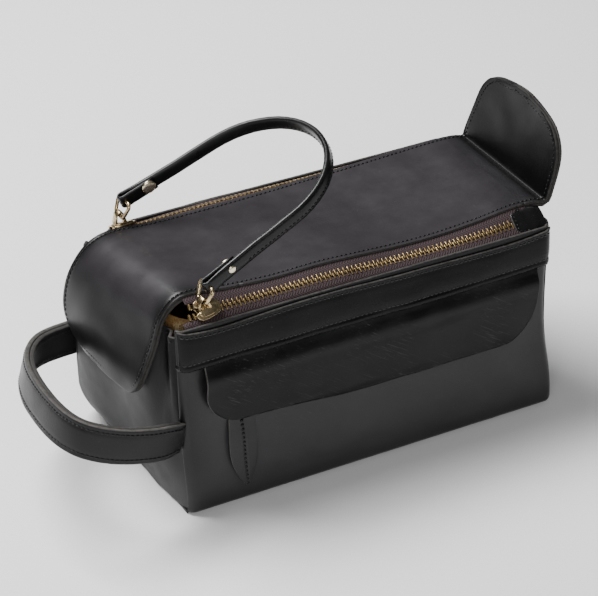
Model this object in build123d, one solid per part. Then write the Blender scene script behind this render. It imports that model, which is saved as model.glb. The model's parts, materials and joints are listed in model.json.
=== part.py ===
from build123d import *
from math import acos, atan2, cos, degrees, radians, sin, sqrt
import os

# Leather shaving kit bag: a boxy body with a flat lid held by two zips that one wrist strap pulls
# together, a stub handle on the left end, a tongue of lid leather over the left end, an ear of lid
# leather standing at the right end, and a zipped front pocket under a loose flap.
# Millimetres. X runs along the bag, -Y is the front, +Z is up, the base lies on z = 0.

# Driving sizes of the body
body_length = 250.0
body_depth = 126.0
body_height = 123.0
base_corner_radius = 9.0
leather = 2.0
layer_gap = 0.1
body_gap = 0.5
end_bulge = 3.0
end_panel_drop = 3.0
board_thickness = 1.5
board_margin = 9.0
lining_thickness = 0.8
lining_inset = 7.0
lining_drop = 2.0
band_height = 25.0

# Lid, tongue and ear
zip_strip_span = 16.0
lid_rise = 9.0
lid_left_margin = 17.0
lid_hinge_margin = 37.0
hinge_slit = 0.6
tongue_radius = 37.0
tongue_drop = 25.0
tongue_corner = 20.0
ear_height = 55.0
ear_lean = 11.0
ear_corner = 34.0
ear_gap = 1.5

# Zips in the sloping strips between lid and body
tape_thickness = 0.6
tape_hidden = 10.0
tape_left_margin = 7.0
tape_right_margin = 13.0
zip_left_margin = 13.0
zip_right_margin = 25.0
tooth_pitch = 3.0
tooth_width = 1.5
tooth_length = 3.4
tooth_height = 2.4
tooth_row_gap = 1.2
slider_margin = 20.0
slider_length = 13.0
slider_width = 10.0
slider_plate = 1.3
slider_clearance = 0.4
slider_web = 0.6
web_length = 4.0
bridge_length = 5.0
bridge_width = 4.0
stop_length = 2.4
tab_length = 24.0
tab_corner = 6.0

# Pull rings and wrist strap
ring_wire = 1.1
ring_foot_width = 10.0
ring_width = 16.0
ring_height = 10.0
ring_corner = 2.4
ring_lean = 22.0
ring_lid_clearance = 0.4
pin_clearance = 0.4
strap_length = 108.0
strap_end_radius = 50.0
strap_width = 10.0
strap_thickness = 3.5
strap_rise = 24.0
eye_wall = 1.8
rivet_place = 16.0
rivet_radius = 1.5
rivet_cap_radius = 4.5
rivet_cap = 1.2
rivet_fit = 0.02

# Handle on the left end
handle_width = 22.0
handle_layer = 2.95
handle_drop = 67.0
handle_tilt = 14.0
handle_root_gap = 1.0
handle_root_inset = 2.5
# Bends of the handle: distance from the end wall, then place along Y and radius over half the depth
handle_bends = [(27.0, -1.1032, 0.635), (62.0, -0.9841, 0.4286), (66.0, 0.127, 0.9524), (35.0, 0.7619, 1.27)]

# Front pocket
pocket_left_margin = 29.0
pocket_right_margin = 21.0
pocket_zip_drop = 9.0
slot_height = 8.8
pocket_tape_height = 8.0
pocket_pitch = 2.6
pocket_tooth_width = 1.2
pocket_tooth_length = 2.4
pocket_tooth_height = 2.0
pocket_row_gap = 1.0
pocket_web = 0.5
pocket_slider_margin = 10.4
pocket_slider_length = 11.0
pocket_slider_height = 7.8
pocket_plate = 1.2
pocket_bottom = 20.0
pouch_cloth = 0.6
staple_length = 2.0
staple_wall = 0.8
flap_left_margin = 15.0
flap_right_margin = 14.4
flap_height = 44.5
flap_corner = 17.0
flap_standoff = 4.4
flap_shoulder = 4.0
leaf_width = 18.0
leaf_top_drop = 9.0
leaf_tip_z = 8.5
leaf_widest_share = 0.4685
leaf_thickness = 3.0
leaf_gap = 0.5
leaf_top_width = 6.0
link_wire = 0.8
link_width = 11.0

# Places that follow from the sizes above
half_length = body_length / 2
half_depth = body_depth / 2
inner_face = half_depth - leather
lid_top = body_height + lid_rise
lid_width = body_depth - 2 * zip_strip_span
half_lid = lid_width / 2
lid_left = -half_length + lid_left_margin
lid_hinge_x = half_length - lid_hinge_margin
tape_left = -half_length + tape_left_margin
tape_right = half_length - tape_right_margin
zip_left = -half_length + zip_left_margin
zip_right = half_length - zip_right_margin
slider_x = -half_length + slider_margin
tape_top = lid_top - leather - layer_gap
facing_top = tape_top - tape_thickness - layer_gap
lid_bottom = facing_top - leather
strip_high = (half_lid + layer_gap, tape_top - tape_thickness / 2)
strip_low = (inner_face - layer_gap - tape_thickness / 2, body_height + layer_gap)
strip_y = (strip_high[0] + strip_low[0]) / 2
strip_z = (strip_high[1] + strip_low[1]) / 2
strip_run = strip_low[0] - strip_high[0]
strip_fall = strip_high[1] - strip_low[1]
strip_angle = degrees(atan2(strip_fall, strip_run))
strip_half = sqrt(strip_run ** 2 + strip_fall ** 2) / 2
strip_plane = Plane(
    origin=(0, -strip_y, strip_z),
    x_dir=(1, 0, 0),
    z_dir=(0, -sin(radians(strip_angle)), cos(radians(strip_angle))),
)
plate_low = tooth_height / 2 + slider_clearance
plate_high = plate_low + slider_plate
bridge_z = lid_top + ring_lid_clearance + ring_wire
ring_top_x = slider_x + ring_height * sin(radians(ring_lean))
ring_top_z = bridge_z + ring_height * cos(radians(ring_lean))
band_bottom = body_height - band_height
pocket_left = -half_length + pocket_left_margin
pocket_right = half_length - pocket_right_margin
pocket_zip_z = band_bottom - pocket_zip_drop
pocket_slider_x = pocket_left + pocket_slider_margin
flap_left = -half_length + flap_left_margin
flap_right = half_length - flap_right_margin
flap_top = band_bottom - body_gap
flap_bottom = flap_top - flap_height
flap_inner = half_depth + flap_standoff
leaf_top_z = pocket_zip_z - leaf_top_drop
leaf_widest_z = leaf_tip_z + leaf_widest_share * (leaf_top_z - leaf_tip_z)
handle_z = body_height - handle_drop
handle_root_y = half_depth - handle_root_inset


def block(x0, x1, y0, y1, z0, z1):
    """Box between two corners."""
    return Pos((x0 + x1) / 2, (y0 + y1) / 2, (z0 + z1) / 2) * Box(x1 - x0, y1 - y0, z1 - z0)


def along_x(face, x0, x1):
    """Solid from a section drawn in Y and Z, running from x0 to x1."""
    return extrude(Plane(origin=(x0, 0, 0), x_dir=(0, 1, 0), z_dir=(1, 0, 0)) * face, x1 - x0)


def along_y(face, y0, y1):
    """Solid from a profile drawn in X and Z, running from y0 to y1."""
    return extrude(Plane(origin=(0, y1, 0), x_dir=(1, 0, 0), z_dir=(0, -1, 0)) * face, y1 - y0)


def body_section(inset, top):
    """Section of the body with rounded lower corners, drawn inset from the outside."""
    half = half_depth - inset
    radius = base_corner_radius - inset
    shape = Pos(0, (inset + top) / 2) * Rectangle(2 * half, top - inset)
    return fillet(shape.vertices().group_by(Axis.Y)[0], radius)


def save(name, shape):
    """Write one node, with a copy across the bag's middle for names that start with front."""
    export_step(shape, f"parts/{name}.step")
    if name.startswith("front_") and name != "front_band":
        export_step(mirror(shape, Plane.XZ), f"parts/{name.replace('front_', 'back_')}.step")


def body_wrap():
    """Front, base and back in one piece of leather, with the slot for the pocket zip."""
    shell = body_section(0, body_height) - body_section(leather, body_height + leather)
    slot = block(
        pocket_left, pocket_right, -half_depth - leather, -inner_face + leather,
        pocket_zip_z - slot_height / 2, pocket_zip_z + slot_height / 2,
    )
    return along_x(shell, -half_length, half_length) - slot


def end_panel(side):
    """End wall between the edges of the wrap, swelling a little outward at its middle."""
    panel_half = inner_face - layer_gap
    outside = half_length - body_gap
    section = body_section(leather + layer_gap, body_height - end_panel_drop)
    plan = make_face([
        Line((outside, -panel_half), (outside - leather, -panel_half)),
        ThreePointArc(
            (outside - leather, -panel_half), (outside - leather + end_bulge, 0),
            (outside - leather, panel_half),
        ),
        Line((outside - leather, panel_half), (outside, panel_half)),
        ThreePointArc((outside, panel_half), (outside + end_bulge, 0), (outside, -panel_half)),
    ])
    curved = extrude(plan, body_height)
    panel = curved & along_x(section, outside - leather, outside + end_bulge)
    return panel if side > 0 else mirror(panel, Plane.YZ)


def band(side):
    """Strip of leather sewn along the top of the front or back."""
    piece = block(
        -half_length, half_length, -half_depth - leather - layer_gap, -half_depth - layer_gap,
        band_bottom, body_height,
    )
    return piece if side < 0 else mirror(piece, Plane.XZ)


def base_board():
    """Stiff board that lies on the base leather."""
    low = leather + layer_gap
    return block(
        -half_length + board_margin, half_length - board_margin,
        -half_depth + board_margin, half_depth - board_margin,
        low, low + board_thickness,
    )


def bag_lining():
    """Cloth tub that lines the inside."""
    low = leather + board_thickness + 2 * layer_gap
    top = body_height - lining_drop
    reach_x = half_length - body_gap - leather - lining_thickness
    reach_y = half_depth - lining_inset
    wall = lining_thickness
    tub = block(-reach_x, reach_x, -reach_y, reach_y, low, top)
    return tub - block(
        -reach_x + wall, reach_x - wall, -reach_y + wall, reach_y - wall, low + wall, top + wall,
    )


def bag_tape(x0, x1):
    """Zip tape sewn inside the body's top edge, bent over it into the sloping strip."""
    out = strip_low[0] + tape_thickness / 2
    low = body_height - tape_hidden
    upright = block(x0, x1, -out, -out + tape_thickness, low, strip_low[1])
    reach = strip_half - tooth_row_gap / 2 - tooth_length / 2
    slope = strip_plane * block(
        x0, x1, -strip_half, -strip_half + reach, -tape_thickness / 2, tape_thickness / 2,
    )
    return upright + slope


def lid_tape(x0, x1):
    """Zip tape sewn between the two lid leathers, bent down into the sloping strip."""
    flat = block(
        x0, x1, -half_lid - layer_gap, -half_lid + tape_hidden, tape_top - tape_thickness, tape_top,
    )
    reach = strip_half - tooth_row_gap / 2 - tooth_length / 2
    slope = strip_plane * block(
        x0, x1, strip_half - reach, strip_half, -tape_thickness / 2, tape_thickness / 2,
    )
    return flat + slope


def tooth_places(x0, x1, pitch):
    """Evenly pitched places from x0 up to x1."""
    return [x0 + pitch * (n + 0.5) for n in range(int((x1 - x0) / pitch))]


def teeth_row(side, x0, x1):
    """Metal teeth of one tape, clamped over its edge. side is +1 on the lid and -1 on the body."""
    near = side * tooth_row_gap / 2
    far = side * (tooth_row_gap / 2 + tooth_length)
    low, high = min(near, far), max(near, far)
    clamp = strip_half - tooth_row_gap / 2 - tooth_length / 2
    edge = side * (strip_half - clamp)
    slit_low, slit_high = min(edge, 2 * far), max(edge, 2 * far)
    teeth = []
    for x in tooth_places(x0, x1, tooth_pitch):
        tooth = block(x - tooth_width / 2, x + tooth_width / 2, low, high, -tooth_height / 2, tooth_height / 2)
        slit = block(x - tooth_width, x + tooth_width, slit_low, slit_high, -tape_thickness / 2, tape_thickness / 2)
        teeth.append(strip_plane * (tooth - slit))
    return teeth


def zip_stop(side, x):
    """Stop at the open end of one row, on top of the tape, running from x."""
    near = side * tooth_row_gap / 2
    far = side * (tooth_row_gap / 2 + tooth_length)
    low = tape_thickness / 2 + layer_gap
    return strip_plane * block(x, x + stop_length, min(near, far), max(near, far), low, tooth_height / 2)


def zip_tab():
    """Leather tab sewn over the closed end of the zip."""
    low = tooth_height / 2 + layer_gap
    plan = Pos(half_length - body_gap - tab_length / 2, 0) * Rectangle(tab_length, 2 * strip_half - 2 * body_gap)
    plan = fillet(plan.vertices().group_by(Axis.X)[0], tab_corner)
    return extrude(strip_plane.offset(low) * plan, leather)


def slider():
    """Main slider: plate over both rows, half plate under the lid's row, a web and a ring bridge."""
    half = slider_length / 2
    plan = Pos(slider_x, 0) * Rectangle(slider_length, slider_width)
    plan = fillet(plan.vertices().group_by(Axis.X)[0], slider_width / 2 - layer_gap)
    top = extrude(strip_plane.offset(plate_low) * plan, slider_plate)
    lid_half = plan & Pos(slider_x, slider_width / 2 - slider_web / 2) * Rectangle(slider_length, slider_width)
    bottom = extrude(strip_plane.offset(-plate_high) * lid_half, slider_plate)
    web = strip_plane * block(
        slider_x - half + web_length / 2, slider_x - half + web_length / 2 + web_length,
        -slider_web / 2, slider_web / 2, -plate_high, plate_high,
    )
    post = block(
        slider_x - bridge_length / 2, slider_x + bridge_length / 2,
        -strip_y - bridge_width / 2, -strip_y + bridge_width / 2,
        strip_z, bridge_z + ring_wire + pin_clearance + slider_plate,
    )
    under = strip_plane * block(
        slider_x - slider_length, slider_x + slider_length, -slider_width, slider_width,
        -slider_width, plate_low + slider_plate / 2,
    )
    hole = Pos(slider_x, -strip_y, bridge_z) * Rot(90, 0, 0) * Cylinder(ring_wire + pin_clearance, 2 * bridge_width)
    return top + bottom + web + (post - under - hole)


def pull_ring():
    """Wire ring through the slider's bridge, wider where it holds the strap, leaning up to it."""
    foot = ring_foot_width / 2
    head = ring_width / 2
    loop = fillet(
        Polygon((-foot, 0), (foot, 0), (head, ring_height), (-head, ring_height), align=None).vertices(),
        ring_corner,
    )
    plane = Plane(
        origin=(slider_x, -strip_y, bridge_z),
        x_dir=(0, 1, 0),
        z_dir=(cos(radians(ring_lean)), 0, -sin(radians(ring_lean))),
    )
    path = (plane * loop).wire()
    section = Plane(origin=path @ 0, z_dir=path % 0) * Circle(ring_wire)
    return sweep(section, path=path)


def strap_band(half):
    """Half outline of the strap loop, offset by half the strap's thickness."""
    centre = strap_length - strap_end_radius
    radius = strap_end_radius + half
    side = strip_y + half
    reach = sqrt(centre ** 2 + side ** 2)
    swing = atan2(side, -centre) - acos(radius / reach)
    touch = (centre + radius * cos(swing), radius * sin(swing))
    return side, touch, centre + radius


def strap_loop():
    """Strap standing on edge, bent into a loop, with an eye round the bar of each ring."""
    half = strap_thickness / 2
    side_out, touch_out, tip_out = strap_band(half)
    side_in, touch_in, tip_in = strap_band(-half)
    start = ring_wire + pin_clearance + eye_wall / 2
    outline = make_face([
        Line((start, side_out), touch_out),
        ThreePointArc(touch_out, (tip_out, 0), (touch_out[0], -touch_out[1])),
        Line((touch_out[0], -touch_out[1]), (start, -side_out)),
        Line((start, -side_out), (start, -side_in)),
        Line((start, -side_in), (touch_in[0], -touch_in[1])),
        ThreePointArc((touch_in[0], -touch_in[1]), (tip_in, 0), touch_in),
        Line(touch_in, (start, side_in)),
        Line((start, side_in), (start, side_out)),
    ])
    lean = radians(strap_rise)
    plane = Plane(
        origin=(ring_top_x, 0, ring_top_z),
        x_dir=(cos(lean), 0, sin(lean)),
        z_dir=(-sin(lean), 0, cos(lean)),
    )
    strap = plane * extrude(outline, strap_width / 2, both=True)
    eye_half = ring_width / 2 - ring_corner - pin_clearance
    eye_hole = ring_wire + pin_clearance
    rivets = []
    _, touch, _ = strap_band(0)
    rivet_y = strip_y + (touch[1] - strip_y) * rivet_place / touch[0]
    for side in (-1, 1):
        seat = Pos(ring_top_x, side * strip_y, ring_top_z) * Rot(90, 0, 0)
        strap = strap + seat * Cylinder(eye_hole + eye_wall, 2 * eye_half)
        strap = strap - seat * Cylinder(eye_hole, 4 * eye_half)
        place = plane * Pos(rivet_place, side * rivet_y, 0) * Rot(90, 0, 0)
        post_length = strap_thickness + 2 * layer_gap + 2
        strap = strap - place * Cylinder(rivet_radius + rivet_fit, 4 * strap_thickness)
        rivet = place * Cylinder(rivet_radius, post_length)
        for end in (-1, 1):
            cap_place = place * Pos(0, 0, end * (post_length + rivet_cap) / 2)
            rivet = rivet + cap_place * Cylinder(rivet_cap_radius, rivet_cap)
        rivets.append(rivet)
    return strap, rivets


def lid_layer(low, x0, x1):
    """One flat leather of the lid."""
    return block(x0, x1, -half_lid, half_lid, low, low + leather)


def tongue_layer(outside):
    """One leather of the tongue, bending down over the left end. outside is its outer radius."""
    x = lid_left - hinge_slit
    zc = lid_top - tongue_radius
    inside = outside - leather
    corner = cos(radians(45))
    profile = make_face([
        ThreePointArc((x, zc + outside), (x - outside * corner, zc + outside * corner), (x - outside, zc)),
        Line((x - outside, zc), (x - outside, zc - tongue_drop)),
        Line((x - outside, zc - tongue_drop), (x - inside, zc - tongue_drop)),
        Line((x - inside, zc - tongue_drop), (x - inside, zc)),
        ThreePointArc((x - inside, zc), (x - inside * corner, zc + inside * corner), (x, zc + inside)),
        Line((x, zc + inside), (x, zc + outside)),
    ])
    low = zc - tongue_drop
    front = Pos(0, (low + lid_top) / 2) * Rectangle(lid_width, lid_top - low)
    front = fillet(front.vertices().group_by(Axis.Y)[0], tongue_corner)
    return along_y(profile, -half_lid, half_lid) & along_x(front, x - outside, x)


def ear_layer(offset):
    """One leather of the ear, leaning outward. offset runs from its inner face."""
    plan = Pos(0, ear_height / 2) * Rectangle(lid_width, ear_height)
    plan = fillet(plan.vertices().group_by(Axis.Y)[-1], ear_corner)
    lean = radians(ear_lean)
    plane = Plane(
        origin=(half_length + ear_gap, 0, lid_top),
        x_dir=(0, 1, 0),
        z_dir=(cos(lean), 0, -sin(lean)),
    )
    return extrude(plane.offset(offset) * plan, leather)


def handle_layers():
    """Two straps sewn face to face, bent into a loop and tilted up, round at their roots."""
    root_x = handle_width / 2 + handle_root_gap
    bends = [(-x, y * half_depth) for x, y, _ in handle_bends]
    radii = [r * half_depth for _, _, r in handle_bends]
    route = FilletPolyline((0.0, -handle_root_y), *bends, (0.0, handle_root_y), radius=radii)
    full = offset(route, handle_layer + layer_gap / 2, kind=Kind.ARC, side=Side.BOTH)
    slit = offset(route, layer_gap / 2, kind=Kind.ARC, side=Side.BOTH)
    reach = max(x for x, _, _ in handle_bends) + handle_width
    profile = Pos(-root_x - reach / 2, 0) * Rectangle(reach, handle_width) + Pos(-root_x, 0) * Circle(handle_width / 2)
    cut = along_y(profile, -body_depth, body_depth)
    loop = extrude(make_face(full), handle_width / 2, both=True) & cut
    loop = loop - extrude(make_face(slit), handle_width, both=True)
    place = Pos(-half_length, 0, handle_z) * Pos(-root_x, 0, 0) * Rot(0, handle_tilt, 0) * Pos(root_x, 0, 0)
    layers = sorted((place * loop).solids(), key=lambda piece: piece.volume)
    return layers[-1], layers[0]


def pocket_flap():
    """Loose flap under the front band, standing off the panel over the pocket's slider and pull."""
    outer = -flap_inner - leather
    root = -half_depth - body_gap
    shoulder = flap_top - flap_shoulder
    section = make_face(Polyline(
        (root, flap_top), (root - leather, flap_top), (outer, shoulder), (outer, flap_bottom),
        (-flap_inner, flap_bottom), (-flap_inner, shoulder), (root, flap_top),
    ))
    front = Pos((flap_left + flap_right) / 2, (flap_bottom + flap_top) / 2)
    front = front * Rectangle(flap_right - flap_left, flap_height)
    front = fillet(front.vertices().group_by(Axis.Y)[0], flap_corner)
    return along_x(section, flap_left, flap_right) & along_y(front, outer - leather, root + leather)


def pocket_tape(side):
    """Tape of the pocket zip behind the slot. side is +1 above and -1 below."""
    near = pocket_zip_z + side * (pocket_row_gap / 2 + pocket_tooth_length / 2)
    far = pocket_zip_z + side * (slot_height / 2 + pocket_tape_height)
    face = -inner_face + layer_gap
    return block(
        pocket_left - leather, pocket_right + leather, face, face + tape_thickness,
        min(near, far), max(near, far),
    )


def pocket_teeth():
    """Both rows of the pocket zip, clamped over the tape edges."""
    middle = -inner_face + layer_gap + tape_thickness / 2
    teeth = []
    for side in (-1, 1):
        near = pocket_zip_z + side * pocket_row_gap / 2
        far = near + side * pocket_tooth_length
        edge = near + side * pocket_tooth_length / 2
        for x in tooth_places(pocket_left, pocket_right, pocket_pitch):
            tooth = block(
                x - pocket_tooth_width / 2, x + pocket_tooth_width / 2,
                middle - pocket_tooth_height / 2, middle + pocket_tooth_height / 2,
                min(near, far), max(near, far),
            )
            slit = block(
                x - pocket_tooth_width, x + pocket_tooth_width,
                middle - tape_thickness / 2, middle + tape_thickness / 2,
                min(edge, far + side), max(edge, far + side),
            )
            teeth.append(tooth - slit)
    return teeth


def pocket_slider():
    """Slider of the pocket zip, with a staple on its face for the pull's link."""
    middle = -inner_face + layer_gap + tape_thickness / 2
    face = pocket_tooth_height / 2 + slider_clearance / 2
    half_x = pocket_slider_length / 2
    half_z = pocket_slider_height / 2
    x = pocket_slider_x
    z = pocket_zip_z
    outer = block(x - half_x, x + half_x, middle - face - pocket_plate, middle - face, z - half_z, z + half_z)
    inner = block(x - half_x, x + half_x, middle + face, middle + face + pocket_plate, z - half_z, z + half_z)
    web = block(
        x - half_x + web_length / 4, x - half_x + web_length, middle - face - layer_gap, middle + face + layer_gap,
        z - pocket_web / 2, z + pocket_web / 2,
    )
    wire_y = link_y()
    room_y = link_wire + pin_clearance
    room_z = link_wire + staple_length
    staple = block(
        x - staple_length / 2, x + staple_length / 2, wire_y - room_y - staple_wall, middle - face - layer_gap,
        z - room_z - staple_wall, z + room_z + staple_wall,
    )
    window = block(
        x - staple_length, x + staple_length, wire_y - room_y, wire_y + room_y, z - room_z, z + room_z,
    )
    return outer + inner + web + (staple - window)


def link_y():
    """Place of the pull's link, in the middle of the space between panel and flap."""
    return -half_depth - leaf_gap - leaf_thickness / 2


def pocket_link():
    """Wire link between the pocket slider and the pull."""
    height = pocket_zip_z - leaf_top_z
    plane = Plane(origin=(pocket_slider_x, link_y(), pocket_zip_z - height / 2), x_dir=(1, 0, 0), z_dir=(0, -1, 0))
    path = (plane * RectangleRounded(link_width, height, 2 * link_wire)).wire()
    section = Plane(origin=path @ 0, z_dir=path % 0) * Circle(link_wire)
    return sweep(section, path=path)


def pocket_pull():
    """Leaf-shaped leather pull folded round the link, with its point near the base."""
    x = pocket_slider_x
    half = leaf_width / 2
    top_half = leaf_top_width / 2
    eye = link_wire + pin_clearance / 2
    leaf = make_face([
        Line((x - top_half, leaf_top_z), (x + top_half, leaf_top_z)),
        ThreePointArc((x + top_half, leaf_top_z), (x + half, leaf_widest_z), (x, leaf_tip_z)),
        ThreePointArc((x, leaf_tip_z), (x - half, leaf_widest_z), (x - top_half, leaf_top_z)),
    ])
    y = link_y()
    body = along_y(leaf, y - leaf_thickness / 2, y + leaf_thickness / 2)
    turn = Pos(x, y, leaf_top_z) * Rot(0, 90, 0)
    rim = turn * Cylinder(leaf_thickness / 2, leaf_top_width)
    return body + rim - turn * Cylinder(eye, 2 * leaf_width)


def pocket_bag():
    """Flat cloth pouch behind the slot, sewn to both tapes."""
    front = -inner_face + 2 * layer_gap + tape_thickness
    back = -half_depth + lining_inset - layer_gap
    lip = pocket_zip_z - slot_height / 2
    top = pocket_zip_z + slot_height / 2 + pocket_tape_height
    outer = block(pocket_left, pocket_right, front, back - layer_gap, pocket_bottom, top)
    hollow = block(
        pocket_left - leather, pocket_right + leather, front + pouch_cloth, back - layer_gap - pouch_cloth,
        pocket_bottom + pouch_cloth, top + leather,
    )
    mouth = block(
        pocket_left - leather, pocket_right + leather, front - leather, front + pouch_cloth,
        lip - layer_gap, top + leather,
    )
    return outer - hollow - mouth


os.makedirs("parts", exist_ok=True)
lid_start = lid_left + hinge_slit
lid_end = lid_hinge_x - hinge_slit
strap, rivets = strap_loop()
handle_outer, handle_inner = handle_layers()
move_right = lid_hinge_x + hinge_slit

save("body_wrap", body_wrap())
save("left_end_panel", end_panel(-1))
save("right_end_panel", end_panel(1))
save("front_band", band(-1))
save("back_band", band(1))
save("base_board", base_board())
save("bag_lining", bag_lining())
save("front_bag_tape", bag_tape(tape_left, tape_right))
save("front_tape_end", lid_tape(move_right, tape_right))
save("front_bag_teeth", Compound(children=teeth_row(-1, zip_left, zip_right) + teeth_row(1, move_right, zip_right)))
save("front_bag_stop", zip_stop(-1, zip_left - stop_length - tooth_width))
save("front_zip_tab", zip_tab())
save("front_lid_tape", lid_tape(lid_start, lid_end))
save("front_lid_stop", zip_stop(1, lid_start))
save("front_lid_teeth", Compound(children=teeth_row(1, lid_start + stop_length + tooth_width, lid_end)))
save("front_slider", slider())
save("front_ring", pull_ring())
save("wrist_strap", strap)
save("strap_rivets", Compound(children=rivets))
save("lid_panel", lid_layer(lid_top - leather, lid_left, lid_end))
save("lid_facing", lid_layer(lid_bottom, lid_left, lid_end))
save("lid_end", lid_layer(lid_top - leather, move_right, half_length))
save("lid_end_facing", lid_layer(lid_bottom, move_right, half_length))
save("left_flap", tongue_layer(tongue_radius))
save("left_flap_facing", tongue_layer(tongue_radius - leather - layer_gap))
save("right_ear", ear_layer(0))
save("right_ear_facing", ear_layer(leather + layer_gap))
save("handle_outer", handle_outer)
save("handle_inner", handle_inner)
save("pocket_flap", pocket_flap())
save("pocket_upper_tape", pocket_tape(1))
save("pocket_lower_tape", pocket_tape(-1))
save("pocket_teeth", Compound(children=pocket_teeth()))
save("pocket_bag", pocket_bag())
save("pocket_slider", pocket_slider())
save("pocket_link", pocket_link())
save("pocket_pull", pocket_pull())
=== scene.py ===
import json
import math
import bpy
from mathutils import Matrix, Vector, noise


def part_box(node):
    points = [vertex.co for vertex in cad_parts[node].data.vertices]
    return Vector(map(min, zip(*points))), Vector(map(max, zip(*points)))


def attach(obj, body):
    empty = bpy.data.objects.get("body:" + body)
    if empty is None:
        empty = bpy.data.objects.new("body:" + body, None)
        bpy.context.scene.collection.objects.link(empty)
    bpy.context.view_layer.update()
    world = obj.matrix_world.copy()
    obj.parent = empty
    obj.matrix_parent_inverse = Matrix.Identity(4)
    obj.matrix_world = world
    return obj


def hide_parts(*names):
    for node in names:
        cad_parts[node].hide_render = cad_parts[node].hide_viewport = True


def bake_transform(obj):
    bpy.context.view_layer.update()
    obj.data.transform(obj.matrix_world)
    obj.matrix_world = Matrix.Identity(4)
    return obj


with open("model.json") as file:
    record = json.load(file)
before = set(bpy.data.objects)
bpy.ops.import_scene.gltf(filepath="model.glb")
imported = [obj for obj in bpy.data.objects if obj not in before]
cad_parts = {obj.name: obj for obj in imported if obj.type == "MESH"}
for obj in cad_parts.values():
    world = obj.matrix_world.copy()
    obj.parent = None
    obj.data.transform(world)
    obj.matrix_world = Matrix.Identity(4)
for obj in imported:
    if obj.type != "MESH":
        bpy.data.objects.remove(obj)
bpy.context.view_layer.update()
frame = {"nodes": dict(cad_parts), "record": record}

# Sizes here are in millimetres and are made metres when a mesh is written. +X runs along the bag
# towards the ear, -Y is the front with the pocket, +Z is up.
MM = 0.001


def corners(node):
    """Lowest and highest corner of a CAD node, in millimetres."""
    low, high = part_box(node)
    return Vector(low) / MM, Vector(high) / MM


def joint(name):
    """Joint of the record, by name."""
    return next(j for j in frame["record"]["behaviour"]["joints"] if j["name"] == name)


def pivot(name):
    """Place of a joint's axis, in millimetres."""
    return Vector(joint(name)["pos_m"]) / MM


wrap_high = corners("body_wrap")[1]
half_depth = wrap_high.y
wall_top = wrap_high.z
half_lid = corners("lid_panel")[1].y
leather = 2.0
layer_gap = 0.05
stitch_pitch = 2.9
stitch_inset = 3.0
tape_thickness = 0.6
tooth_pitch = 2.85
zip_left = -113.0
zip_right = 99.0
slider_shift = 2.5
strip_y = -corners("front_slider")[0].y - 5.0
slider_x = pivot("front_ring_turn").x
tongue_seam = -78.0
ear_seam = 112.0
fold_height = 133.0
pocket_zip_z = 89.0
slot_half = 4.4
slot_reach = (-96.0, 104.0)
pull_x = -85.6
flap_low, flap_high = corners("pocket_flap")
leaf_low, leaf_high = corners("pocket_pull")


# ---------------------------------------------------------------- curves and meshes

def through(points, u):
    """Place at u on a smooth curve through points, where u counts points from 0."""
    last = len(points) - 1
    i = max(0, min(int(u), last - 1))
    f = u - i
    a, b = Vector(points[max(i - 1, 0)]), Vector(points[i])
    c, d = Vector(points[i + 1]), Vector(points[min(i + 2, last)])
    square, cube = 2 * a - 5 * b + 4 * c - d, 3 * b - a - 3 * c + d
    return 0.5 * (2 * b + (c - a) * f + square * f ** 2 + cube * f ** 3)


def steps(points, start, end, spacing):
    """Places in point counts from start to end, about spacing apart along the curve."""
    places = [start]
    for k in range(int(start), math.ceil(end)):
        low, high = max(k, start), min(k + 1, end)
        length = (through(points, high) - through(points, low)).length
        count = max(1, round(length / spacing))
        places += [low + (high - low) * (n + 1) / count for n in range(count)]
    return places


def height_at(table, x):
    """Value at x on a smooth curve through (x, value) pairs in rising order of x, held past its ends."""
    if x <= table[0][0] or x >= table[-1][0]:
        return table[0][1] if x <= table[0][0] else table[-1][1]
    n = next(n for n in range(len(table) - 1) if x <= table[n + 1][0])
    (ax, ay), (bx, by) = table[n], table[n + 1]
    before, after = table[max(n - 1, 0)], table[min(n + 2, len(table) - 1)]
    leaving = (by - before[1]) / (bx - before[0]) * (bx - ax)
    arriving = (after[1] - ay) / (after[0] - ax) * (bx - ax)
    t = (x - ax) / (bx - ax)
    return (ay * (1 + 2 * t) * (1 - t) ** 2 + leaving * t * (1 - t) ** 2
            + by * t * t * (3 - 2 * t) + arriving * t * t * (t - 1))


def smoothstep(low, high, value):
    """0 up to low, 1 from high on and smooth between. low may be the larger of the two."""
    f = max(0.0, min(1.0, (value - low) / (high - low)))
    return f * f * (3 - 2 * f)


def bump(value, centre, width):
    """Smooth hump of height 1 at centre that is gone at width to either side."""
    return 1 - smoothstep(0, width, abs(value - centre))


def ripple(x, y, z, size, seed=0.0):
    """Soft unevenness between -1 and 1, with swells about size across."""
    return noise.noise(Vector((x / size + seed, y / size - seed, z / size + 2 * seed)))


def spread(low, high, spacing):
    """Evenly spaced values from low up to high, about spacing apart."""
    count = max(1, round((high - low) / spacing))
    return [low + (high - low) * n / count for n in range(count + 1)]


def shaded(piece, shade):
    """Give every point of a piece a painted shade between 0 and 1 from its place in millimetres."""
    values = [shade(v.co / MM) for v in piece.data.vertices]
    piece.data.attributes.new("shade", "FLOAT", "POINT").data.foreach_set("value", values)
    return piece


def linked(name, data):
    """New object in the scene that shows a mesh, light or camera."""
    piece = bpy.data.objects.new(name, data)
    bpy.context.scene.collection.objects.link(piece)
    return piece


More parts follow.
